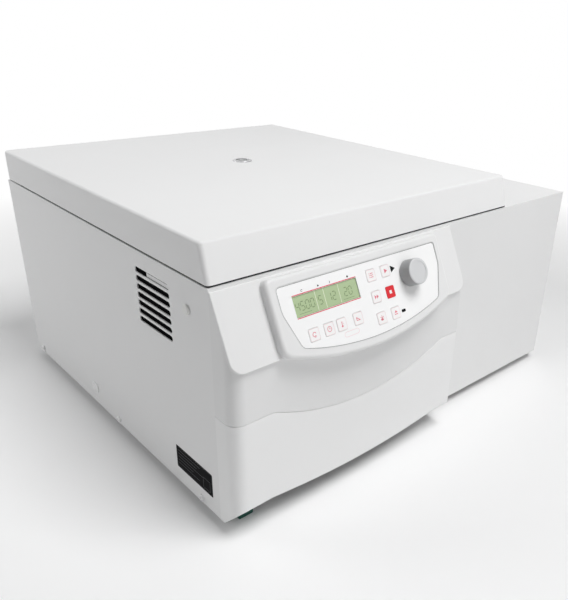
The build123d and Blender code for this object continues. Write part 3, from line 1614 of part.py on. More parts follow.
with BuildPart() as fascia_lower:
    with BuildSketch(Plane.XY.offset(z_floor)):
        add(fascia_plan(0))
    extrude(amount=seam_z - z_floor)
    under_chin(0)
    with BuildSketch(Plane.XZ.offset(-y_front)):
        add(below_wave(seam_z - seam_gap, seam_dip))
    extrude(amount=2 * fascia_depth, both=True, mode=Mode.INTERSECT)
    seam_faces = [face for face in fascia_lower.faces() if face.normal_at().Z > tilt_cos]
    seam_edges = ShapeList(edge for face in seam_faces for edge in face.edges())
    chamfer([edge for edge in seam_edges if edge.center().Y < y_front - seam_round], seam_round)
    add(fascia_lower_core.part, mode=Mode.SUBTRACT)
fascia_lower.part.label = "fascia_lower"
export_step(fascia_lower.part, "parts/fascia_lower.step")


# ================================================================ control panel
def bezel_face(inset):
    """Outline of the control bezel: straight sides and a bottom edge that bows down."""
    half = bezel_half_width - inset
    side_end = bezel_side_end - inset
    with BuildSketch(Plane.XY, mode=Mode.PRIVATE) as face:
        with BuildLine():
            Polyline(
                panel_point(-half, side_end),
                panel_point(-half, bezel_top + inset),
                panel_point(half, bezel_top + inset),
                panel_point(half, side_end),
            )
            ThreePointArc(
                panel_point(half, side_end),
                panel_point(0, bezel_chin - inset),
                panel_point(-half, side_end),
            )
        make_face()
        fillet(face.vertices().group_by(Axis.Y)[-1], bezel_top_corner - inset)
        low_corners = [v for v in face.vertices() if abs(v.Y + side_end) < bezel_top_corner / 2]
        fillet(low_corners, bezel_low_corner - inset)
    return face.sketch


def foil_face(play):
    """Outline of the keypad foil: sides that taper in towards a bowed bottom edge."""
    half = foil_half_width + play
    low_half = foil_low_half_width + play
    with BuildSketch(Plane.XY, mode=Mode.PRIVATE) as face:
        with BuildLine():
            Polyline(
                panel_point(-low_half, foil_side_end),
                panel_point(-half, foil_taper_start),
                panel_point(-half, foil_top - play),
                panel_point(half, foil_top - play),
                panel_point(half, foil_taper_start),
                panel_point(low_half, foil_side_end),
            )
            ThreePointArc(
                panel_point(low_half, foil_side_end),
                panel_point(0, foil_chin + play),
                panel_point(-low_half, foil_side_end),
            )
        make_face()
        by_height = face.vertices().group_by(Axis.Y)
        fillet(by_height[-2], foil_side_corner)
        fillet(face.vertices().group_by(Axis.Y)[-1], foil_top_corner)
        low_corners = [v for v in face.vertices() if abs(v.Y + foil_side_end) < foil_low_corner / 2]
        fillet(low_corners, foil_low_corner)
    return face.sketch


key_points = [panel_point(*place) for place in keys.values()]
display_point = panel_point(display_x, display_drop)
knob_point = panel_point(knob_x, knob_drop)
bezel_outer = bezel_face(0)
bezel_inner = bezel_face(bezel_wall)
foil_outline = foil_face(0)
foil_seat = foil_face(foil_play)
visor_foot = Vector(visor.origin) + visor.y_dir * -visor_length
visor_heel = visor_foot - visor.z_dir * visor_thickness

with BuildPart() as control_bezel:
    with BuildSketch(on_panel(-bezel_root)):
        add(bezel_outer)
    extrude(amount=bezel_root + bezel_height)
    fillet(control_bezel.faces().sort_by(panel_normal)[-1].edges(), bezel_round)
    with BuildSketch(on_panel(plate_back)):
        add(bezel_inner)
    extrude(amount=-bezel_root - plate_back, mode=Mode.SUBTRACT)
    with BuildSketch(on_panel(plate_front)):
        add(foil_seat)
    extrude(amount=foil_recess, mode=Mode.SUBTRACT)
    # openings for the display, the keys and the encoder
    with BuildSketch(on_panel(plate_front)):
        with Locations(display_point):
            Rectangle(display_width + 2 * display_play, display_height + 2 * display_play)
        with Locations(*key_points):
            RectangleRounded(key_size + 2 * key_play, key_size + 2 * key_play, key_corner)
        with Locations(knob_point):
            Circle(encoder_bush_radius + panel_play)
    extrude(amount=-bezel_wall, mode=Mode.SUBTRACT)
    # bosses that carry the control board
    with BuildSketch(on_panel(plate_back)):
        with Locations(panel_point(0, (board_top + board_bottom) / 2)):
            with GridLocations(
                2 * (board_half_width - board_boss_inset),
                board_bottom - board_top - 2 * board_boss_inset,
                2,
                2,
            ):
                Circle(board_boss_radius)
    extrude(amount=board_front - plate_back)
    # the back follows the faces of the moulding behind it
    with BuildSketch(Plane.YZ.offset(fascia_x - fascia_width)):
        with BuildLine():
            Polyline(
                (y_front - visor_setoff + cabinet_width * tilt_sin, visor_top_z + cabinet_width * tilt_cos),
                (visor_foot.Y, visor_foot.Z),
                (visor_heel.Y, visor_heel.Z),
                (fascia_front, visor_heel.Z),
                (fascia_front, z_floor),
                (y_rear, z_floor),
                (y_rear, z_deck + cabinet_width * tilt_cos),
                close=True,
            )
        make_face()
    extrude(amount=2 * fascia_width, mode=Mode.SUBTRACT)
control_bezel.part.label = "control_bezel"
export_step(control_bezel.part, "parts/control_bezel.step")


with BuildPart() as keypad_foil:
    with BuildSketch(on_panel(plate_front)):
        add(foil_outline)
        with Locations(display_point):
            Rectangle(
                display_width + 2 * display_play, display_height + 2 * display_play, mode=Mode.SUBTRACT
            )
        with Locations(*key_points):
            RectangleRounded(
                key_size + 2 * key_play, key_size + 2 * key_play, key_corner, mode=Mode.SUBTRACT
            )
        with Locations(knob_point):
            Circle(encoder_bush_radius + panel_play, mode=Mode.SUBTRACT)
    extrude(amount=foil_thickness)
keypad_foil.part.label = "keypad_foil"
export_step(keypad_foil.part, "parts/keypad_foil.step")


with BuildPart() as display_module:
    with BuildSketch(on_panel(board_front)):
        with Locations(display_point):
            Rectangle(display_width + 2 * display_rim, display_height + 2 * display_rim)
    extrude(amount=plate_back - board_front)
    with BuildSketch(on_panel(plate_back)):
        with Locations(display_point):
            Rectangle(display_width, display_height)
    extrude(amount=plate_front - plate_back - display_recess)
display_module.part.label = "display_module"
export_step(display_module.part, "parts/display_module.step")


with BuildPart() as control_board:
    with BuildSketch(on_panel(board_height)):
        with Locations(panel_point(0, (board_top + board_bottom) / 2)):
            RectangleRounded(2 * board_half_width, board_bottom - board_top, board_boss_radius)
    extrude(amount=board_thickness)
    with BuildSketch(on_panel(board_front)):
        with Locations(*key_points):
            Rectangle(switch_side, switch_side)
    extrude(amount=switch_top - board_front)
    with BuildSketch(on_panel(board_front)):
        with Locations(knob_point):
            Rectangle(encoder_side, encoder_side)
    extrude(amount=plate_back - board_front)
    with BuildSketch(on_panel(plate_back)):
        with Locations(knob_point):
            Circle(encoder_bush_radius)
    extrude(amount=foil_front + encoder_bush_rise - plate_back)
    with BuildSketch(on_panel(board_front)):
        with Locations(knob_point):
            Circle(encoder_shaft_radius + running_clearance)
    extrude(amount=bezel_height, mode=Mode.SUBTRACT)
control_board.part.label = "control_board"
export_step(control_board.part, "parts/control_board.step")


for key_name, place in keys.items():
    with BuildPart() as key_cap:
        with BuildSketch(on_panel(key_back)):
            with Locations(panel_point(*place)):
                RectangleRounded(key_size, key_size, key_corner)
        extrude(amount=foil_front + key_proud - key_back)
        fillet(key_cap.faces().sort_by(panel_normal)[-1].edges(), key_proud / 2)
        with BuildSketch(on_panel(key_back)):
            with Locations(panel_point(*place)):
                RectangleRounded(key_size + 2 * key_flange, key_size + 2 * key_flange, key_corner)
        extrude(amount=-key_flange_thickness)
    key_cap.part.label = key_name
    export_step(key_cap.part, f"parts/{key_name}.step")


knob_base = foil_front + encoder_bush_rise + knob_gap
knob_face = knob_base + knob_length

with BuildPart() as control_knob:
    with BuildSketch(on_panel(knob_base)):
        with Locations(knob_point):
            Circle(knob_radius)
    extrude(amount=knob_length, taper=knob_taper)
    fillet(control_knob.faces().sort_by(panel_normal)[-1].edges(), knob_edge)
    with BuildSketch(on_panel(knob_face)):
        with Locations(knob_point):
            Circle(knob_radius - knob_edge - knob_disc_inset)
    extrude(amount=-knob_disc_depth, mode=Mode.SUBTRACT)
    with BuildSketch(on_panel(knob_base)):
        with Locations(knob_point):
            Circle(encoder_shaft_radius)
    extrude(amount=knob_bore_depth, mode=Mode.SUBTRACT)
control_knob.part.label = "control_knob"
export_step(control_knob.part, "parts/control_knob.step")


with BuildPart() as encoder_shaft:
    with BuildSketch(on_panel(board_front + running_clearance)):
        with Locations(knob_point):
            Circle(encoder_shaft_radius)
    extrude(amount=knob_base + knob_bore_depth - board_front - running_clearance)
encoder_shaft.part.label = "encoder_shaft"
export_step(encoder_shaft.part, "parts/encoder_shaft.step")
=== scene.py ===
# %% [markdown]
# # A cooled microplate centrifuge, dressed for the bench
# The instrument arrives as a frame of solid parts: panels, lid, keys, rotor, pipes, all in place and in
# metres, with the control panel facing -Y and +Z up. The solids keep their shapes here. What this lesson
# adds is what a solid can't say: paint, moulded grain, brushed steel, printed marks, light.
# The first cell only loads the frame and keeps its box, which the dressed model must not outgrow.

# %% Load the frame
import json
import math

import bpy
from mathutils import Matrix, Quaternion, Vector
from mathutils.geometry import convex_hull_2d


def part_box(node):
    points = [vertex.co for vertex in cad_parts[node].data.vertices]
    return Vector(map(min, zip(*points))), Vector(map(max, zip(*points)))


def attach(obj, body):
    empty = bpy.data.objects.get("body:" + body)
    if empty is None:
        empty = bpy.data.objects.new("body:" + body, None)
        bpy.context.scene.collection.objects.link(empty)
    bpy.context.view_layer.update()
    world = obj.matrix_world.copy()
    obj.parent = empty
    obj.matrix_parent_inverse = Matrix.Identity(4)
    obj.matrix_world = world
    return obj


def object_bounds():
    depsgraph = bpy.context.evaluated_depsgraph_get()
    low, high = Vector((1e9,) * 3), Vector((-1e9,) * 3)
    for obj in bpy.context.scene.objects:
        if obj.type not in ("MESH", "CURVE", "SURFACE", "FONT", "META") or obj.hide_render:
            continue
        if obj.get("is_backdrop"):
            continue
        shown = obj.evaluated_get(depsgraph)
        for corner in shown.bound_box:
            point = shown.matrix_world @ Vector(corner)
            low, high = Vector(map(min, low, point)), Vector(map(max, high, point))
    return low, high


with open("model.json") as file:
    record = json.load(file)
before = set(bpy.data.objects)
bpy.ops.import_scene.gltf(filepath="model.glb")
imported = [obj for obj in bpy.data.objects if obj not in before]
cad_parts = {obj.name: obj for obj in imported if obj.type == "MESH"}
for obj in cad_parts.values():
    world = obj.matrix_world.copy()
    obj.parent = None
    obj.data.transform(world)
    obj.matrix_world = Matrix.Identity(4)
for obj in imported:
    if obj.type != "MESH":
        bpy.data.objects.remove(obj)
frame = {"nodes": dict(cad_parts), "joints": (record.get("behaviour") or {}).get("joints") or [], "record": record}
solid_low, solid_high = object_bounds()
nodes = frame["nodes"]
joints = {joint["name"]: joint for joint in frame["joints"]}
MM = 0.001
print(len(nodes), "solids,", len(joints), "joints, box", [round(v, 3) for v in solid_high - solid_low])

# %% [markdown]
# ## Where the camera stands
# A product picture of a bench instrument is taken from a standing person's height, a bit to the left of
# the front, so that two sides and the top are seen. A position, a heading, a dip and a small roll say
# that more plainly than a rotation matrix does, and the lens is the one that gives the same perspective.

# %% Camera
camera_place = Vector((-0.6845, -0.8106, 0.5843))
camera_heading = math.radians(43.669)
camera_dip = math.radians(25.515)
camera_roll = math.radians(2.124)
camera = bpy.data.objects.new("camera", bpy.data.cameras.new("camera"))
bpy.context.scene.collection.objects.link(camera)
look = Vector((
    math.sin(camera_heading) * math.cos(camera_dip),
    math.cos(camera_heading) * math.cos(camera_dip),
    -math.sin(camera_dip),
))
camera.location = camera_place
camera.rotation_mode = "QUATERNION"
camera.rotation_quaternion = look.to_track_quat("-Z", "Y") @ Quaternion((0, 0, 1), camera_roll)
camera.data.sensor_width = 36.0
camera.data.lens = 38.69
camera.data.shift_x = -0.0894
camera.data.shift_y = 0.0400
camera.data.clip_start = 0.05
bpy.context.scene.camera = camera
bpy.context.scene.view_settings.view_transform = "Standard"
print("camera looks along", [round(v, 3) for v in look])

# %% [markdown]
# ## Studio light
# White paint shows its shape only through soft differences of light, so nothing here is hard. Four large
# panels of light stand round the bench. The strongest hangs high in front, so the lid and the front get
# the same light and the panel's rim casts a soft shade below it. One behind on the left lights the side,
# and two weak ones fill the front and the rear. The world adds an even trace from everywhere. What the
# camera, gloss and glass see behind the object is plain white, which is done with Light Path. The white
# then shows behind the object and in its gloss, but gives the paint no other light.
# The floor is pale paper. Close to the object it is a real surface that takes the object's shadow and
# throws light back up under it; further out it fades into the same plain white.

# %% World and lamps
world = bpy.data.worlds.new("studio")
bpy.context.scene.world = world
world.use_nodes = True
sky = world.node_tree
level = sky.nodes["Background"]
level.inputs["Color"].default_value = (0.97, 0.985, 1.0, 1)
level.inputs["Strength"].default_value = 0.12
backdrop = sky.nodes.new("ShaderNodeBackground")
backdrop.inputs["Color"].default_value = (1, 1, 1, 1)
path = sky.nodes.new("ShaderNodeLightPath")
seen = path.outputs["Is Camera Ray"]
for ray in ("Is Glossy Ray", "Is Transmission Ray"):
    either = sky.nodes.new("ShaderNodeMath")
    either.operation = "MAXIMUM"
    sky.links.new(seen, either.inputs[0])
    sky.links.new(path.outputs[ray], either.inputs[1])
    seen = either.outputs[0]
choice = sky.nodes.new("ShaderNodeMixShader")
sky.links.new(seen, choice.inputs[0])
sky.links.new(level.outputs[0], choice.inputs[1])
sky.links.new(backdrop.outputs[0], choice.inputs[2])
sky.links.new(choice.outputs[0], sky.nodes["World Output"].inputs["Surface"])

middle = (solid_low + solid_high) / 2


def softbox(name, place, size, power):
    """A square panel of light that faces the middle of the object: its side in metres, its power in watts."""
    lamp = bpy.data.lights.new(name, "AREA")
    lamp.shape = "SQUARE"
    lamp.size = size
    lamp.energy = power
    holder = bpy.data.objects.new(name, lamp)
    bpy.context.scene.collection.objects.link(holder)
    holder.location = place
    holder.rotation_mode = "QUATERNION"
    holder.rotation_quaternion = (middle - Vector(place)).to_track_quat("-Z", "Y")


softbox("high_front", (0.2, -1.2, 2.4), size=1.2, power=46)
softbox("left_rear", (-1.6, 1.6, 1.2), size=1.4, power=18)
softbox("front_fill", (0.0, -2.6, 0.9), size=1.4, power=9)
softbox("rear_fill", (0.0, 1.6, 2.2), size=1.6, power=7)
print("four soft boxes around", [round(v, 3) for v in middle])

# %% [markdown]
# ## Shader maths in plain Python
# A finish is a small network of nodes. Built by hand it takes pages of clicks or lines, so two helpers
# make it short. A Wire wraps one socket and knows the few signs that the finishes need: +, *, /, **, <,
# and a number minus a wire. Each adds a Math node. A Finish holds the material, and its one `node` method
# adds any other node: settings first, then sockets.


# %% Wire and Finish
class Wire:
    """An output socket that takes part in ordinary Python maths."""

    def __init__(self, finish, socket):
        self.finish = finish
        self.socket = socket

    def maths(self, operation, *values):
        """A Math node fed with these values."""
        return self.finish.node("Math", {"operation": operation}, dict(enumerate(values)))

    def __add__(self, other):
        return self.maths("ADD", self, other)

    def __rsub__(self, other):
        return self.maths("SUBTRACT", other, self)

    def __mul__(self, other):
        return self.maths("MULTIPLY", self, other)

    def __truediv__(self, other):
        return self.maths("DIVIDE", self, other)

    def __pow__(self, other):
        return self.maths("POWER", self, other)

    def __lt__(self, other):
        return self.maths("LESS_THAN", self, other)


class Finish:
    """A material: one Principled shader and the nodes that feed it."""

    def __init__(self, name, colour, roughness, **constants):
        self.material = bpy.data.materials.new(name)
        self.material.use_nodes = True
        self.tree = self.material.node_tree
        self.shader = self.tree.nodes["Principled BSDF"]
        self.feed("Base Color", (*colour, 1))
        self.feed("Roughness", roughness)
        for socket, value in constants.items():
            self.feed(socket.replace("_", " "), value)

    def join(self, value, socket):
        """Links a wire to the socket, or sets the socket to a plain value."""
        if isinstance(value, Wire):
            self.tree.links.new(value.socket, socket)
        else:
            socket.default_value = value

    def feed(self, socket, value):
        """Gives a socket of the shader a value or a wire."""
        self.join(value, self.shader.inputs[socket])

    def node(self, kind, settings=None, sockets=None, output=0):
        """Adds a node: its settings, then the values or links of its sockets. Returns an output."""
        made = self.tree.nodes.new("ShaderNode" + kind)
        for setting, value in (settings or {}).items():
            setattr(made, setting, value)
        for socket, value in (sockets or {}).items():
            self.join(value, made.inputs[socket])
        return Wire(self, made.outputs[output])

    def place(self):
        """The surface point in the frame's own metres."""
        return self.node("TexCoord", output="Object")

    def noise(self, per_metre, detail=2.0, stretch=(1, 1, 1), at=None):
        """Noise from 0 to 1 with that many lumps to a metre."""
        at = self.node("VectorMath", {"operation": "MULTIPLY"}, {0: at or self.place(), 1: stretch})
        return self.node("TexNoise", None, {"Vector": at, "Scale": per_metre, "Detail": detail}, "Fac")

    def mixed(self, amount, first, second):
        """Two colours mixed by amount, from 0 to 1."""
        colours = [c if isinstance(c, Wire) else (*c, 1) for c in (first, second)]
        return self.node("Mix", {"data_type": "RGBA"}, {0: amount, 6: colours[0], 7: colours[1]}, 2)

    def clamp(self, value, low, high):
        """Value stretched so that low gives 0 and high gives 1, and held there outside."""
        return self.node("MapRange", None, {"Value": value, "From Min": low, "From Max": high})

    def gloss(self, roughness, pattern, swing):
        """Roughness that swings about its value as the pattern goes from 0 to 1."""
        self.feed("Roughness", pattern * swing + (roughness - swing / 2))

    def relief(self, height, depth):
        """Height from 0 to 1 becomes bumps depth metres high."""
        bump = self.node("Bump", None, {"Height": height, "Distance": depth, "Strength": 1.0}, "Normal")
        self.feed("Normal", bump)


print("helpers ready: Wire, Finish")

# %% [markdown]
# ## The floor
# A wide sheet of pale paper under the feet. Its finish reads the distance from the object's middle: inside
# the first radius it is paper, beyond the second it is the plain white of the background, both to the
# camera and through glass. A reflection still shows paper out there. The sheet is a single face. One helper
# turns points and faces into an object, and the dark pad behind the vents and its clip use it later.


# %% Floor
def plain_mesh(name, points, faces, material):
    """An object made straight from points and faces, in one material."""
    mesh = bpy.data.meshes.new(name)
    mesh.from_pydata(points, [], faces)
    mesh.materials.append(material)
    made = bpy.data.objects.new(name, mesh)
    bpy.context.scene.collection.objects.link(made)
    return made


floor_half = 12.0
paper_radius = 0.75
fade_radius = 1.5
paper = Finish("paper", (0.93, 0.93, 0.93), 0.8, Specular_IOR_Level=0.2)
paper.feed("Roughness", paper.noise(per_metre=40, detail=3) * 0.1 + 0.75)
under_middle = (middle.x, middle.y, 0)
away = paper.node("VectorMath", {"operation": "DISTANCE"}, {0: paper.place(), 1: under_middle}, "Value")
by_camera = paper.node("LightPath", output="Is Camera Ray")
by_glass = paper.node("LightPath", output="Is Transmission Ray")
seen = by_camera.maths("MAXIMUM", by_camera, by_glass)
white = paper.node("Emission", None, {"Color": (1, 1, 1, 1), "Strength": 1.0})
fade = paper.node("MixShader", None, {0: paper.clamp(away, paper_radius, fade_radius) * seen})
paper.tree.links.new(paper.shader.outputs[0], fade.socket.node.inputs[1])
paper.tree.links.new(white.socket, fade.socket.node.inputs[2])
paper.tree.links.new(fade.socket, paper.tree.nodes["Material Output"].inputs["Surface"])

corners = [(x * floor_half, y * floor_half, 0) for x, y in ((-1, -1), (1, -1), (1, 1), (-1, 1))]
floor = plain_mesh("floor", corners, [(0, 1, 2, 3)], paper.material)
floor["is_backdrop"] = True
print("floor", 2 * floor_half, "m wide, fades to white beyond", fade_radius, "m")

# %% [markdown]
# ## Painted sheet metal
# The cabinet panels are folded steel with a baked powder coat. Close up such a coat is never flat: it
# has a fine orange peel, and its shade and gloss change a little from place to place. All come from noise
# at a real scale: about a millimetre for the peel, a finger's width for the gloss and a hand's width for
# the shade. Noise was chosen over a picture because it has no seams and no end. The moulded parts beside
# it have nearly the same white but a finer, spark-eroded grain, so the same function makes both. The upper
# front moulding is made a little darker, a painted shade for the shadow below the panel's rim and along
# the moulding's side, and the lower one a little paler, painted light for the light the bench throws back
# up. The lid's coat is the dullest, so that it doesn't flare under the high light.


# %% Paint and moulded plastic
def darker(colour, share):
    """The same colour with that share of it taken away."""
    return tuple(c * (1 - share) for c in colour)


def coated(name, colour, roughness, grain_mm, grain_depth, drift=0.03, shine=0.4):
    """Paint or moulded plastic with a grain of that size and depth in mm and a slow drift of shade."""
    finish = Finish(name, colour, roughness, Specular_IOR_Level=shine)
    cloud = finish.noise(per_metre=7, detail=3)
    finish.feed("Base Color", finish.mixed(cloud, darker(colour, drift), colour))
    finish.gloss(roughness, finish.noise(per_metre=60, detail=2), swing=0.12)
    finish.relief(finish.noise(per_metre=1000 / grain_mm, detail=2), grain_depth * MM)
    return finish


# name, colour, roughness, size and depth of the grain in mm, then drift or shine where it matters
finishes = {
    "cabinet_paint": coated("powder_coat", (0.80, 0.80, 0.80), 0.5, 1.0, 0.05, shine=0.3),
    "pan_steel": coated("pan_paint", (0.60, 0.60, 0.60), 0.5, 1.2, 0.05),
    "fixing_paint": coated("screw_paint", (0.90, 0.90, 0.90), 0.22, 0.5, 0.01),
    "lid_paint": coated("lid_coat", (0.815, 0.815, 0.815), 0.6, 0.9, 0.04, shine=0.15),
    "liner_paint": coated("liner_coat", (0.72, 0.73, 0.72), 0.4, 1.0, 0.05),
    # painted light: the upper moulding's darker white is a painted shade, the lower one's paler white is painted
    # light from the bench
    "moulding_upper": coated("upper_moulding", (0.77, 0.77, 0.77), 0.45, 0.4, 0.03),
    "moulding_lower": coated("lower_moulding", (0.84, 0.84, 0.84), 0.45, 0.4, 0.03),
    "bezel_plastic": coated("bezel_moulding", (0.77, 0.77, 0.77), 0.38, 0.4, 0.02),
    "plug_plastic": coated("plug_moulding", (0.80, 0.80, 0.78), 0.4, 0.4, 0.02),
    "guard_steel": coated("primer", (0.24, 0.25, 0.26), 0.55, 0.8, 0.06),
    "compressor_paint": coated("black_enamel", (0.018, 0.018, 0.02), 0.25, 1.5, 0.05),
    "inlet_plastic": coated("black_moulding", (0.022, 0.022, 0.024), 0.45, 0.3, 0.02),
    "rocker_plastic": coated("rocker_gloss", (0.02, 0.02, 0.022), 0.18, 0.6, 0.005),
    "fan_plastic": coated("fan_moulding", (0.03, 0.03, 0.033), 0.5, 0.4, 0.02),
    "key_white": coated("key_cap", (0.90, 0.89, 0.89), 0.4, 0.3, 0.01),
    "key_red": coated("stop_key_cap", (0.72, 0.022, 0.032), 0.4, 0.3, 0.01, drift=0.08),
}
print(len(finishes), "coated finishes")

# %% [markdown]
# ## Metals
# Rolled and ground metal keeps the marks of its making. A sheet is brushed one way, so its noise is
# stretched along one axis. The chamber is spun on a lathe, so its marks run round the rotor's axis: there
# the noise is read at radius and height, and hardly at all along the circle. Castings get no marks, only
# a sandy skin.


# %% Brushed, spun and cast metal
def brushed(name, colour, roughness, stretch, marks=900, depth=0.01):
    """Metal with fine marks, so many to a metre and depth mm deep, along the axes where stretch is small."""
    finish = Finish(name, colour, roughness, Metallic=1.0)
    lines = finish.noise(per_metre=marks, detail=3, stretch=stretch)
    smudge = finish.noise(per_metre=12, detail=3)
    finish.feed("Roughness", lines * 0.16 + smudge * 0.08 + (roughness - 0.12))
    finish.feed("Base Color", finish.mixed(lines, darker(colour, 0.14), colour))
    finish.relief(lines, depth * MM)
    return finish


rotor_axis = Vector(joints["rotor_spin"]["pos_m"])
metres_per_radian = 0.004


def around(finish, axis_point):
    """Radius and height about an upright axis, as a vector for noise to read."""
    local = finish.node("VectorMath", {"operation": "SUBTRACT"}, {0: finish.place(), 1: axis_point})
    east, north, up = (finish.node("SeparateXYZ", None, {0: local}, k) for k in range(3))
    radius = (east * east + north * north) ** 0.5
    turn = finish.node("Math", {"operation": "ARCTAN2"}, {0: east, 1: north})
    return finish.node("CombineXYZ", None, {0: radius, 1: turn * metres_per_radian, 2: up})


def spun(name, colour, roughness):
    """Sheet spun on a lathe: rings about the rotor's axis."""
    finish = Finish(name, colour, roughness, Metallic=1.0)
    rings = finish.noise(per_metre=700, detail=3, at=around(finish, rotor_axis))
    smudge = finish.noise(per_metre=9, detail=3)
    finish.feed("Roughness", rings * 0.14 + smudge * 0.1 + (roughness - 0.12))
    finish.feed("Base Color", finish.mixed(rings, darker(colour, 0.12), colour))
    finish.relief(rings, 0.012 * MM)
    return finish


def cast(name, colour, roughness, grain_mm=1.2, depth=0.06):
    """Sand-textured or anodised metal."""
    finish = Finish(name, colour, roughness, Metallic=0.9)
    sand = finish.noise(per_metre=1000 / grain_mm, detail=3)
    finish.gloss(roughness, sand, swing=0.2)
    cloud = finish.noise(per_metre=15, detail=3)
    finish.feed("Base Color", finish.mixed(cloud, darker(colour, 0.1), colour))
    finish.relief(sand, depth * MM)
    return finish


finishes |= {
    "bowl_steel": spun("spun_stainless", (0.66, 0.66, 0.65), 0.30),
    "rotor_alloy": cast("rotor_anodising", (0.16, 0.17, 0.18), 0.35, 0.5, 0.015),
    "carrier_alloy": cast("carrier_anodising", (0.52, 0.53, 0.55), 0.38, 0.4, 0.015),
    "motor_paint": cast("motor_casting", (0.50, 0.51, 0.52), 0.5),
    "bearing_steel": brushed("bearing_steel", (0.70, 0.70, 0.71), 0.18, (1, 1, 6)),
    "shaft_steel": brushed("ground_shaft", (0.66, 0.66, 0.66), 0.24, (1, 1, 6)),
    "nut_steel": brushed("nut_chrome", (0.72, 0.72, 0.73), 0.16, (1, 1, 8), 500, 0.004),
    "ring_steel": brushed("ring_chrome", (0.50, 0.50, 0.51), 0.22, (1, 1, 8), 500, 0.004),
    "hinge_steel": brushed("zinc_plate", (0.60, 0.60, 0.61), 0.34, (0.1, 1, 1)),
    "lock_steel": brushed("lock_zinc", (0.56, 0.57, 0.58), 0.36, (0.1, 1, 1)),
    "shroud_steel": brushed("shroud_zinc", (0.52, 0.53, 0.54), 0.4, (1, 1, 0.1)),
    "fin_alloy": brushed("fin_alloy", (0.70, 0.71, 0.72), 0.32, (1, 1, 0.1)),
    "heat_sink": brushed("extruded_alloy", (0.66, 0.67, 0.68), 0.34, (1, 1, 0.05)),
    "copper": cast("drawn_copper", (0.62, 0.30, 0.18), 0.3, 2.0, 0.02),
}
print(len(finishes), "finishes with the metals")

# %% [markdown]
# ## Rubber, foam, glass, foil and electronics
# These few surfaces each have their own character: rubber is dark and dull with dust in its pores, the
# fibre-textured pad behind the vents swallows nearly all light as a painted shade for the dark inside, cut
# foam shows its cells, the keypad foil is a satin polyester film, and the display is a green liquid-crystal
# panel with a fine grid behind polished plastic.


# %% The remaining finishes
def rubber(name, colour):
    """Dull rubber with paler dust in its pores."""
    finish = Finish(name, colour, 0.7, Specular_IOR_Level=0.3)
    dust = finish.clamp(finish.noise(per_metre=90, detail=4), low=0.45, high=0.75)
    dusty = tuple(c + 0.06 for c in colour)
    finish.feed("Base Color", finish.mixed(dust * 0.35, colour, dusty))
    finish.feed("Roughness", dust * 0.15 + 0.6)
    finish.relief(finish.noise(per_metre=2200, detail=2), 0.02 * MM)
    return finish


def painted_shade_fibre(name, colour):
    """Near-lightless black with a fibre texture: a painted shade for a dark inside."""
    finish = Finish(name, colour, 0.95, Specular_IOR_Level=0.02)
    tangle = finish.noise(per_metre=1400, detail=4)
    finish.feed("Base Color", finish.mixed(tangle, darker(colour, 0.6), colour))
    finish.relief(tangle, 0.3 * MM)
    return finish


def foam(name, colour):
    """Cut foam that shows its cells."""
    finish = Finish(name, colour, 0.9)
    cells = finish.node("TexVoronoi", None, {"Vector": finish.place(), "Scale": 420.0}, "Distance")
    finish.feed("Base Color", finish.mixed(cells, darker(colour, 0.35), colour))
    finish.relief(cells, 0.8 * MM)
    return finish


def clear(name):
    """Clear acrylic, wiped but not spotless."""
    finish = Finish(name, (0.90, 0.94, 0.94), 0.05, Transmission_Weight=0.9, IOR=1.49)
    finish.feed("Roughness", finish.noise(per_metre=300, detail=2) * 0.06 + 0.02)
    return finish


def foil(name, colour):
    """Printed polyester film with a satin pebble."""
    finish = Finish(name, colour, 0.36, Coat_Weight=0.15)
    finish.feed("Roughness", finish.noise(per_metre=500, detail=2) * 0.1 + 0.32)
    cloud = finish.noise(per_metre=12, detail=2)
    finish.feed("Base Color", finish.mixed(cloud, darker(colour, 0.015), colour))
    finish.relief(finish.noise(per_metre=2600, detail=1), 0.006 * MM)
    return finish


def liquid_crystal(name, colour):
    """A green panel with a faint grid of pixels half a millimetre apart."""
    finish = Finish(name, colour, 0.12, Coat_Weight=0.4, Coat_Roughness=0.05)
    half_pixel = 0.25 * MM
    gap_share = 0.12
    gaps = []
    for way in ("X", "Z"):
        along = finish.node("SeparateXYZ", None, {0: finish.place()}, way)
        inside = finish.node("Math", {"operation": "PINGPONG"}, {0: along, 1: half_pixel}) / half_pixel
        gaps.append(inside < gap_share)
    grid = finish.node("Math", {"operation": "MAXIMUM"}, dict(enumerate(gaps)))
    lit = finish.mixed(finish.noise(per_metre=25, detail=2), darker(colour, 0.12), colour)
    finish.feed("Base Color", finish.mixed(grid * 0.1, lit, darker(colour, 0.5)))
    return finish


def circuit_board(name):
    """Green solder mask over copper tracks."""
    finish = Finish(name, (0.02, 0.16, 0.06), 0.3, Coat_Weight=0.5)
    layout = {"Vector": finish.place(), "Scale": 180.0, "Mortar Size": 0.03}
    tracks = finish.node("TexBrick", None, layout, "Fac")
    finish.feed("Base Color", finish.mixed(tracks, (0.015, 0.13, 0.05), (0.06, 0.26, 0.09)))
    finish.relief(tracks, 0.04 * MM)
    return finish


finishes |= {
    "foot_rubber": rubber("green_rubber", (0.012, 0.075, 0.055)),
    "seal_rubber": rubber("black_rubber", (0.02, 0.02, 0.022)),
    # the vent pad's near-lightless black is painted shade for the cabinet's dark inside behind the slots
    "filter_fibre": painted_shade_fibre("filter_fibre", (0.004, 0.004, 0.005)),
    "foam": foam("cell_foam", (0.66, 0.56, 0.36)),
    "sight_clear": clear("sight_acrylic"),
    "foil": foil("keypad_film", (0.90, 0.90, 0.90)),
    "display": liquid_crystal("display_green", (0.43, 0.55, 0.31)),
    "board": circuit_board("solder_mask"),
}
print(len(finishes), "finishes in all")

# %% [markdown]
# ## The knob
# The turning knob is one grey moulding, but its face is pad-printed in a pale silver grey. On a solid
# that has no separate face, height along the knob's own axis can tell the two apart. The same axis gives
# the angle round it, which makes the fine upright ribs of the grip.

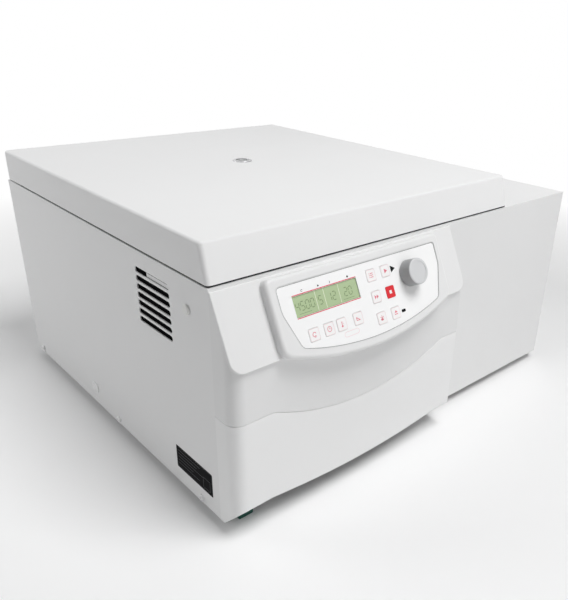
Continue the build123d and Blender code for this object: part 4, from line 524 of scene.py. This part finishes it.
# %% Knob finish
knob_joint = joints["knob_turn"]
panel_out = Vector(knob_joint["axis"])
panel_across = Vector((1, 0, 0))
panel_up = panel_out.cross(panel_across)
knob_place = Vector(knob_joint["pos_m"])
grip_grey = (0.33, 0.335, 0.34)
face_silver = (0.61, 0.615, 0.625)
rib_count, rib_depth = 60.0, 0.12
print_edge_low, print_edge_high = 1.6, 0.9


def height_of(node):
    """How far the highest point of a node stands out of the sloping panel."""
    return max((v.co - knob_place).dot(panel_out) for v in nodes[node].data.vertices)


def knob_finish():
    """Grey grip with upright ribs, and a silver face that ends in a soft edge just under the top."""
    finish = Finish("knob_grey", grip_grey, 0.4)
    local = finish.node("VectorMath", {"operation": "SUBTRACT"}, {0: finish.place(), 1: knob_place})

    def along(direction):
        return finish.node("VectorMath", {"operation": "DOT_PRODUCT"}, {0: local, 1: direction}, "Value")

    turn = finish.node("Math", {"operation": "ARCTAN2"}, {0: along(panel_across), 1: along(panel_up)})
    ribs = finish.node("Math", {"operation": "SINE"}, {0: turn * rib_count}) * 0.5 + 0.5
    top = height_of("control_knob")
    face = finish.clamp(along(panel_out), top - print_edge_low * MM, top - print_edge_high * MM)
    finish.feed("Base Color", finish.mixed(face, grip_grey, face_silver))
    finish.feed("Roughness", face * -0.08 + 0.45)
    finish.relief(ribs * (1 - face), rib_depth * MM)
    return finish


finishes["knob_grey"] = knob_finish()
print("knob stands", round(height_of("control_knob") / MM, 1), "mm out of the panel")

# %% [markdown]
# ## Dressing the solids
# The record says which finish each solid takes, as a slot name, so one loop dresses them all. The solids
# come with their own normals, which keep the folds sharp and the cylinders round, so no shading is set.

# %% Finishes onto nodes
slot_of = {row["node"]: row["material_slot"] for row in frame["record"]["subparts"]}
for name, solid in nodes.items():
    solid.data.materials.clear()
    solid.data.materials.append(finishes[slot_of[name]].material)
print("dressed", len(nodes), "solids")

# %% [markdown]
# ## Inks and other flat finishes
# The panel's print is screen ink on film: a pale pink for the key outlines, a paler red for the symbols
# than for the rules, a black, and the white on the red key. Ink is a thin, slightly uneven layer, so its
# shade wanders a little and it lies just proud of the film. The display's own marks are dark crystal behind
# polished plastic. The data plate's black and grey are duller than ink, and so is the grey of the shadow
# line round the film, where film and bezel meet.


# %% Inks
def ink(name, colour, roughness=0.45, shine=0.3, lift=0.08):
    """A thin layer whose thinner places are paler by the lift."""
    finish = Finish(name, colour, roughness, Specular_IOR_Level=shine)
    uneven = finish.noise(per_metre=900, detail=3)
    thin = tuple(min(c + lift, 0.9) for c in colour)
    finish.feed("Base Color", finish.mixed(uneven * 0.3, colour, thin))
    finish.gloss(roughness, uneven, swing=0.12)
    finish.relief(uneven, 0.004 * MM)
    return finish.material


inks = {
    "pink": ink("pink_ink", (0.84, 0.62, 0.64)),
    "red": ink("red_ink", (0.68, 0.06, 0.09)),
    "symbol": ink("symbol_ink", (0.72, 0.20, 0.25)),
    "black": ink("black_ink", (0.008, 0.008, 0.009), 0.5, 0.1, 0.01),
    "groove": ink("groove_ink", (0.36, 0.36, 0.365), 0.5, 0.1, 0.05),
    "plate": ink("plate_black", (0.004, 0.004, 0.005), 0.6, 0.04, 0.005),
    "white": ink("white_ink", (0.85, 0.85, 0.85)),
    "grey": ink("grey_ink", (0.09, 0.09, 0.095), 0.6, 0.05, 0.03),
    "crystal": ink("dark_crystal", (0.20, 0.27, 0.13), 0.2),
    "divider": ink("pale_divider", (0.66, 0.72, 0.52), 0.25),
}
print(len(inks), "inks")

# %% [markdown]
# ## Shapes for print
# Every printed mark is a closed outline in millimetres on its own little plane. Five kinds of outline and a
# few triangles are enough: a stroke, a disc, a box with round corners, a bent stroke and the seven-bar
# numeral. A hole is simply an outline inside another, because a filled flat curve leaves out what is
# enclosed twice.


# %% Outlines
def stroke(start, end, width):
    """A straight bar with square ends."""
    start, end = Vector(start), Vector(end)
    side = (end - start).orthogonal().normalized() * width / 2
    return [start + side, start - side, end - side, end + side]


def arc(middle, radius, first, last, steps):
    """Points on a circle, with angles in degrees."""
    turns = [math.radians(first + (last - first) * k / steps) for k in range(steps + 1)]
    return [Vector(middle) + Vector((math.cos(t), math.sin(t))) * radius for t in turns]


def disc(middle, radius):
    """A circle of 24 points, one for every 15 degrees."""
    return arc(middle, radius, 0, 345, 23)


def bent_stroke(middle, radius, width, first, last, steps=18):
    """A bar bent along a circle."""
    outer = arc(middle, radius + width / 2, first, last, steps)
    return outer + arc(middle, radius - width / 2, last, first, steps)


def round_box(middle, width, height, corner, steps=5):
    """A box with round corners."""
    points = []
    for first, x, y in ((0, 1, 1), (90, -1, 1), (180, -1, -1), (270, 1, -1)):
        pivot = Vector(middle) + Vector((x * (width / 2 - corner), y * (height / 2 - corner)))
        points += arc(pivot, corner, first, first + 90, steps)
    return points


def frame_of(middle, width, height, corner, line, least_corner=0.2):
    """A round-cornered outline drawn with a line of that width."""
    inner = round_box(middle, width - 2 * line, height - 2 * line, max(corner - line, least_corner))
    return [round_box(middle, width, height, corner), inner]


# the seven bars, lettered clockwise from the top, with g in the middle: each runs between two of six points
ends_of = {
    "a": ((0, 2), (1, 2)), "b": ((1, 1), (1, 2)), "c": ((1, 0), (1, 1)), "d": ((0, 0), (1, 0)),
    "e": ((0, 0), (0, 1)), "f": ((0, 1), (0, 2)), "g": ((0, 1), (1, 1)),
}
# the digits that the display and the rotor show
bars_of = {0: "abcdef", 1: "bc", 2: "abged", 4: "fgbc", 5: "afgcd"}
bar_gap = 0.65


def numeral(digit, left, low, tall):
    """A seven-bar numeral, half as wide as it is tall."""
    wide, line = tall / 2, tall / 9
    drawn = []
    for bar in bars_of[digit]:
        start, end = (Vector((left + x * wide, low + y * tall / 2)) for x, y in ends_of[bar])
        shrink = (end - start).normalized() * line * bar_gap
        drawn.append(stroke(start + shrink, end - shrink, line))
    return drawn


def print_on(name, plane, body, **marks):
    """One piece of print: lists of outlines named by their ink, laid on a plane and carried by a body."""
    curve = bpy.data.curves.new(name, "CURVE")
    curve.dimensions = "2D"
    curve.fill_mode = "BOTH"
    for index, (shade, outlines) in enumerate(marks.items()):
        curve.materials.append(inks[shade])
        for outline in outlines:
            spline = curve.splines.new("POLY")
            spline.points.add(len(outline) - 1)
            for point, place in zip(spline.points, outline):
                point.co = (place[0] * MM, place[1] * MM, 0, 1)
            spline.use_cyclic_u = True
            spline.material_index = index
    drawn = bpy.data.objects.new(name + "_outline", curve)
    piece = bpy.data.objects.new(name, bpy.data.meshes.new_from_object(drawn))
    bpy.data.objects.remove(drawn)
    bpy.context.scene.collection.objects.link(piece)
    piece.matrix_world = plane
    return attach(piece, body)


def plane_at(origin, across, up):
    """A matrix whose X and Y lie along across and up, and whose Z comes out of the surface."""
    plane = Matrix((across, up, across.cross(up))).transposed().to_4x4()
    plane.translation = origin
    return plane


print("outlines ready")

# %% [markdown]
# ## Symbols on the keys
# Each key has a thin pink frame and one symbol that says what it does without words: lines of a list, a
# start arrow, a double arrow, a square for stop, a snow crystal, an arrow out of a tray, a turning arrow
# for speed, a clock, a thermometer and a ramp. A symbol is drawn about one unit large to each side and then
# scaled. The red stop key takes its square in white and has no frame. The print rides on the key, so it
# sinks with it.


# %% Key print
def scaled(outlines, size):
    """The same outlines, so many times larger."""
    return [[Vector(point) * size for point in outline] for outline in outlines]


def turned(outline, degrees):
    """The same outline, turned about the origin."""
    spin = Matrix.Rotation(math.radians(degrees), 2)
    return [spin @ Vector(point) for point in outline]


print_lift = 0.06
symbol_size = 3.4
key_frame_side, key_frame_corner, key_frame_line = 14.2, 1.6, 0.42
list_rows = (-0.7, 0, 0.7)
play = [(-0.6, -0.9), (1.0, 0), (-0.6, 0.9)]
crystal_arm = [(-0.1, 0), (-0.1, 1), (0.1, 1), (0.1, 0)]
symbols = {
    "program_key": [
        *[stroke((-0.45, y), (1, y), 0.26) for y in list_rows],
        *[disc((-0.85, y), 0.17) for y in list_rows],
    ],
    "start_key": [play],
    "quick_key": [[(-1.0, -0.8), (0, 0), (-1.0, 0.8)], [(0.05, -0.8), (1.05, 0), (0.05, 0.8)]],
    "stop_key": [round_box((0, 0), 1.25, 1.25, 0.12)],
    "cool_key": [turned(crystal_arm, 60 * k) for k in range(6)] + [disc((0, 0), 0.16)],
    "lid_key": [[(-0.85, 0.05), (0, 1.0), (0.85, 0.05)], stroke((-0.85, -0.5), (0.85, -0.5), 0.3)],
    "speed_key": [bent_stroke((0, 0), 0.75, 0.24, 20, 300), [(0.05, -1.15), (0.75, -0.65), (0.1, -0.25)]],
    "time_key": [
        disc((0, 0), 1.0), disc((0, 0), 0.78),
        stroke((0, -0.05), (0, 0.6), 0.18), stroke((-0.05, 0), (0.45, 0), 0.18),
    ],
    "temperature_key": [
        disc((0, -0.65), 0.4), stroke((0, -0.2), (0, 1.0), 0.3),
        *[stroke((0.35, y), (0.7, y), 0.15) for y in (0.2, 0.7)],
    ],
    "brake_key": [[(-1.0, 0.7), (1.0, -0.7), (-1.0, -0.7)], [(-0.72, 0.16), (-0.72, -0.48), (0.2, -0.48)]],
}


def rim_of(node):
    """The corners of a node's highest face, to a hundredth of a millimetre."""
    least = height_of(node) - 0.01 * MM
    corners = (v.co for v in nodes[node].data.vertices)
    return [point for point in corners if (point - knob_place).dot(panel_out) > least]


def top_plane(node):
    """A plane just over the middle of a node's highest face."""
    spot = knob_place + panel_out * (height_of(node) + print_lift * MM)
    for direction in (panel_across, panel_up):
        along = [(point - knob_place).dot(direction) for point in rim_of(node)]
        spot = spot + direction * (min(along) + max(along)) / 2
    return plane_at(spot, panel_across, panel_up)


for body, outlines in symbols.items():
    symbol = scaled(outlines, symbol_size)
    marks = {"white": symbol} if body == "stop_key" else {
        "pink": frame_of((0, 0), key_frame_side, key_frame_side, key_frame_corner, key_frame_line),
        "symbol": symbol,
    }
    print_on("print_" + body, top_plane("key_" + body.replace("_key", "")), body, **marks)
print(len(symbols), "keys printed")

# %% [markdown]
# ## Places on the panel
# A mark on the panel needs a plane to lie on. It starts up and to the left of the knob and lies just over
# the node that takes the print. The line round the film also needs the film's own outline, which is convex,
# so the hull of the corners of its highest face gives it. Each corner then moves inwards by the same depth.


# %% Panel plane and film outline
knob_across, knob_drop = 75, 45
panel_start = knob_place - panel_across * knob_across * MM + panel_up * knob_drop * MM


def panel_plane(node):
    """A plane just over that node, with its origin up and to the left of the knob."""
    return plane_at(panel_start + panel_out * (height_of(node) + print_lift * MM), panel_across, panel_up)


def edge_of(node):
    """The outline of a node's highest face, in millimetres across and up from the panel's start."""
    ways = (panel_across, panel_up)
    flat = [Vector([(point - panel_start).dot(way) / MM for way in ways]) for point in rim_of(node)]
    return [flat[k] for k in convex_hull_2d(flat)]


def drawn_in(outline, depth):
    """The outline moved inwards by that depth."""
    moved = []
    for before, at, after in zip(outline[-1:] + outline[:-1], outline, outline[1:] + outline[:1]):
        along = ((at - before).normalized() + (after - at).normalized()).normalized()
        moved.append(at + Vector((-along.y, along.x)) * depth)
    return moved


film_edge = edge_of("keypad_foil")
print("film outline of", len(film_edge), "corners")

# %% [markdown]
# ## Print on the film
# The film between the keys has little on it: a red rule over and under the display, a small black arrow
# that points at the knob, a black lozenge beside the lid key, a pink frame that ties two keys together,
# and four tiny signs over the display's columns. Where a maker would put a name, the film stays bare. A grey
# line just inside the film's edge stands for the shadow in the joint between film and bezel.

# %% Film print
display_across, display_up = -66, -42
display_wide, display_tall = 99.5, 24.4
display_left, display_right = display_across - display_wide / 2, display_across + display_wide / 2
display_low, display_top = display_up - display_tall / 2, display_up + display_tall / 2
rule = 1.0
groove_outside, groove_inside = 0.1, 0.7
knob_arrow = [(44.4, -28.5), (52.6, -33), (44.4, -37.5)]
lozenge = round_box((49, -88.8), 7.4, 3.8, 1.4)
pair_frame = frame_of((-44, -91.6), 24, 6.4, 3.1, 0.5)
sign_size, sign_up = 1.6, -25.6
signs = {
    -100: bent_stroke((0, 0), 0.75, 0.3, 20, 300),
    -75.5: play,
    -57.5: stroke((0, -0.9), (0, 0.9), 0.45),
    -29: disc((0, 0), 0.8),
}
placed_signs = [
    [Vector((x, sign_up)) + Vector(point) * sign_size for point in outline] for x, outline in signs.items()
]
rule_places = (display_top + rule, display_low - rule)
print_on(
    "print_film", panel_plane("keypad_foil"), "cabinet",
    red=[stroke((display_left, y), (display_right, y), rule) for y in rule_places],
    black=[knob_arrow, lozenge, *placed_signs],
    pink=pair_frame,
    groove=[drawn_in(film_edge, groove_outside), drawn_in(film_edge, groove_inside)],
)
print("film printed:", len(signs), "signs over a display of", display_wide, "by", display_tall, "mm")

# %% [markdown]
# ## Print on the display
# Four readings in seven-bar numerals stand side by side, parted by pale lines, and the two outer ones are
# underlined. A real display makes them from dark crystal, so a dark ink that shines is enough.

# %% Display print
digit_step, digit_low, digit_tall = 7.4, -47.5, 10.0
readings = {-113.0: (4, 5, 0, 0), -78.5: (5,), -64.5: (1, 2), -38.5: (2, 0)}
underline_wide, underline_up, underline_line, underline_starts = 18, -51, 0.5, (-110, -42)
divider_line, divider_end, divider_places = 0.9, 0.4, (-82, -69, -46)
crystals = []
for left, digits in readings.items():
    for k, digit in enumerate(digits):
        crystals += numeral(digit, left + k * digit_step, digit_low, digit_tall)
for x in underline_starts:
    crystals.append(stroke((x, underline_up), (x + underline_wide, underline_up), underline_line))
dividers = [
    stroke((x, display_top - divider_end), (x, display_low + divider_end), divider_line)
    for x in divider_places
]
print_on(
    "print_display", panel_plane("display_module"), "cabinet",
    divider=dividers, crystal=crystals,
)
print("display printed:", len(readings), "readings")

# %% [markdown]
# ## The data plate
# A black data plate sits low at the front of the left panel, pressed on flat, with faint rules where its
# figures would be and nothing written on it. Such a plate is a foil, far thinner than the panel under it, so
# it is made the way print is.

# %% Data plate
left_panel_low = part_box("left_side_panel")[0]
side_across = Vector((0, -1, 0))
side_up = Vector((0, 0, 1))
plate_lift, plate_y, plate_z = 0.08, -0.214, 0.057
plate_middle = Vector((left_panel_low.x - plate_lift * MM, plate_y, plate_z))
plate_wide, plate_tall = 85.0, 35.0
rule_left, rule_line = -38, 0.8
rule_lengths = {11: 52, 6: 44, 1: 58, -4: 36, -9: 50}
box_on_plate = frame_of((29, -5), 16, 16, 1.0, 0.7)
border = frame_of((0, 0), plate_wide - 3, plate_tall - 3, 1.2, 0.5)
print_on(
    "data_plate", plane_at(plate_middle, side_across, side_up), "cabinet",
    plate=[round_box((0, 0), plate_wide, plate_tall, 2.0)],
)
rules = [stroke((rule_left, y), (rule_left + length, y), rule_line) for y, length in rule_lengths.items()]
above_plate = plate_middle - Vector((print_lift * MM, 0, 0))
print_on(
    "data_plate_rules", plane_at(above_plate, side_across, side_up), "cabinet",
    grey=rules + box_on_plate + border,
)
print("data plate", plate_wide, "by", plate_tall, "mm with", len(rules), "rules")

# %% [markdown]
# ## Dark pad and clip
# Behind the ventilation slots lies a thin pad of near-lightless black, a painted shade for the dark inside
# of the cabinet, so the slots read as black. A bent strip of painted sheet holds the pad's upper front edge,
# and it shows through the uppermost slot. Pad and clip are too slight to be solids of their own, so both
# are plain meshes that a modifier makes thick.


# %% Dark pad and clip
def shade_pad_mesh(name, low, high, cell, nudge=0.3):
    """A thin pad of near-lightless black, painted shade for the cabinet's dark inside: a grid of points nudged out
    of flat, then given thickness.
    """
    columns, rows = (int((high.y - low.y) / cell), int((high.z - low.z) / cell))
    points = []
    for row in range(rows + 1):
        for column in range(columns + 1):
            wave = math.sin(column * 2.1) * math.cos(row * 1.7) * nudge * MM
            points.append((low.x + wave, low.y + column * cell, low.z + row * cell))
    faces = [
        (at, at + 1, at + columns + 2, at + columns + 1)
        for at in (row * (columns + 1) + column for row in range(rows) for column in range(columns))
    ]
    piece = plain_mesh(name, points, faces, finishes["filter_fibre"].material)
    thickness = piece.modifiers.new("thickness", "SOLIDIFY")
    thickness.thickness = 1.5 * MM
    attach(piece, "cabinet")
    return piece


def spring_clip(name, path, low, high):
    """A bent strip of sheet that holds the dark pad: points on a path seen from above, from low to high."""
    points = [(x, y, z) for x, y in path for z in (low, high)]
    faces = [(k, k + 1, k + 3, k + 2) for k in range(0, len(points) - 2, 2)]
    piece = plain_mesh(name, points, faces, finishes["cabinet_paint"].material)
    shaping = {
        "SOLIDIFY": {"thickness": 1.0 * MM, "offset": 0},
        "BEVEL": {"width": 0.2 * MM, "segments": 2},
    }
    for kind, values in shaping.items():
        step = piece.modifiers.new(kind.lower(), kind)
        for setting, value in values.items():
            setattr(step, setting, value)
    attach(piece, "cabinet")
    return piece


shade_pad_face = left_panel_low.x + 4 * MM
shade_pad_low, shade_pad_high = Vector((shade_pad_face, -0.196, 0.222)), Vector((shade_pad_face, -0.100, 0.310))
clip_face = left_panel_low.x + 2.3 * MM
clip_foot = shade_pad_face - 0.9 * MM
clip_path = ((clip_foot, -0.1955), (clip_face, -0.1935), (clip_face, -0.1325), (clip_foot, -0.1304))
clip_low, clip_high = 0.2951, 0.3000
spring_clip("filter_clip", clip_path, clip_low, clip_high)
# the pad is painted shade: its near-lightless black stands for the dark inside seen through the slots
shade_pad_mesh("vent_filter", shade_pad_low, shade_pad_high, 3 * MM)
print("filter", [round(v / MM) for v in shade_pad_high - shade_pad_low], "mm, held by a clip")

# %% [markdown]
# ## Numbers in the rotor
# Swing-out rotors are numbered so that the carriers go back in their own places. The real numbers are
# engraved and filled with white. Here they are white print just over the arms, and turn with the rotor.

# %% Rotor numbers
rotor_low, rotor_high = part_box("rotor_head")
arm_rise = 0.011
arm_top = joints["carrier_a_swing"]["pos_m"][2] + arm_rise
number_out, number_aside = 0.060, 0.081
number_left, number_tall = -1.2, 5.2
for number, side in ((1, 1), (2, -1)):
    spot = Vector((rotor_axis.x + side * number_out, rotor_axis.y + number_aside, arm_top + print_lift * MM))
    print_on(
        f"print_rotor_{number}", plane_at(spot, Vector((1, 0, 0)), Vector((0, 1, 0))), "rotor",
        white=numeral(number, number_left, -number_tall / 2, number_tall),
    )
print("arms numbered 1 and 2 on a rotor", round((rotor_high.x - rotor_low.x) / MM), "mm across")

# %% [markdown]
# ## Last checks
# The dressed box is set against the solid one, and the growth is printed. It should be nothing.

# %% Sizes and finish
dressed_low, dressed_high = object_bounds()
growth = (dressed_high - dressed_low) - (solid_high - solid_low)
print("box grew by", [round(v / MM, 2) for v in growth], "mm")
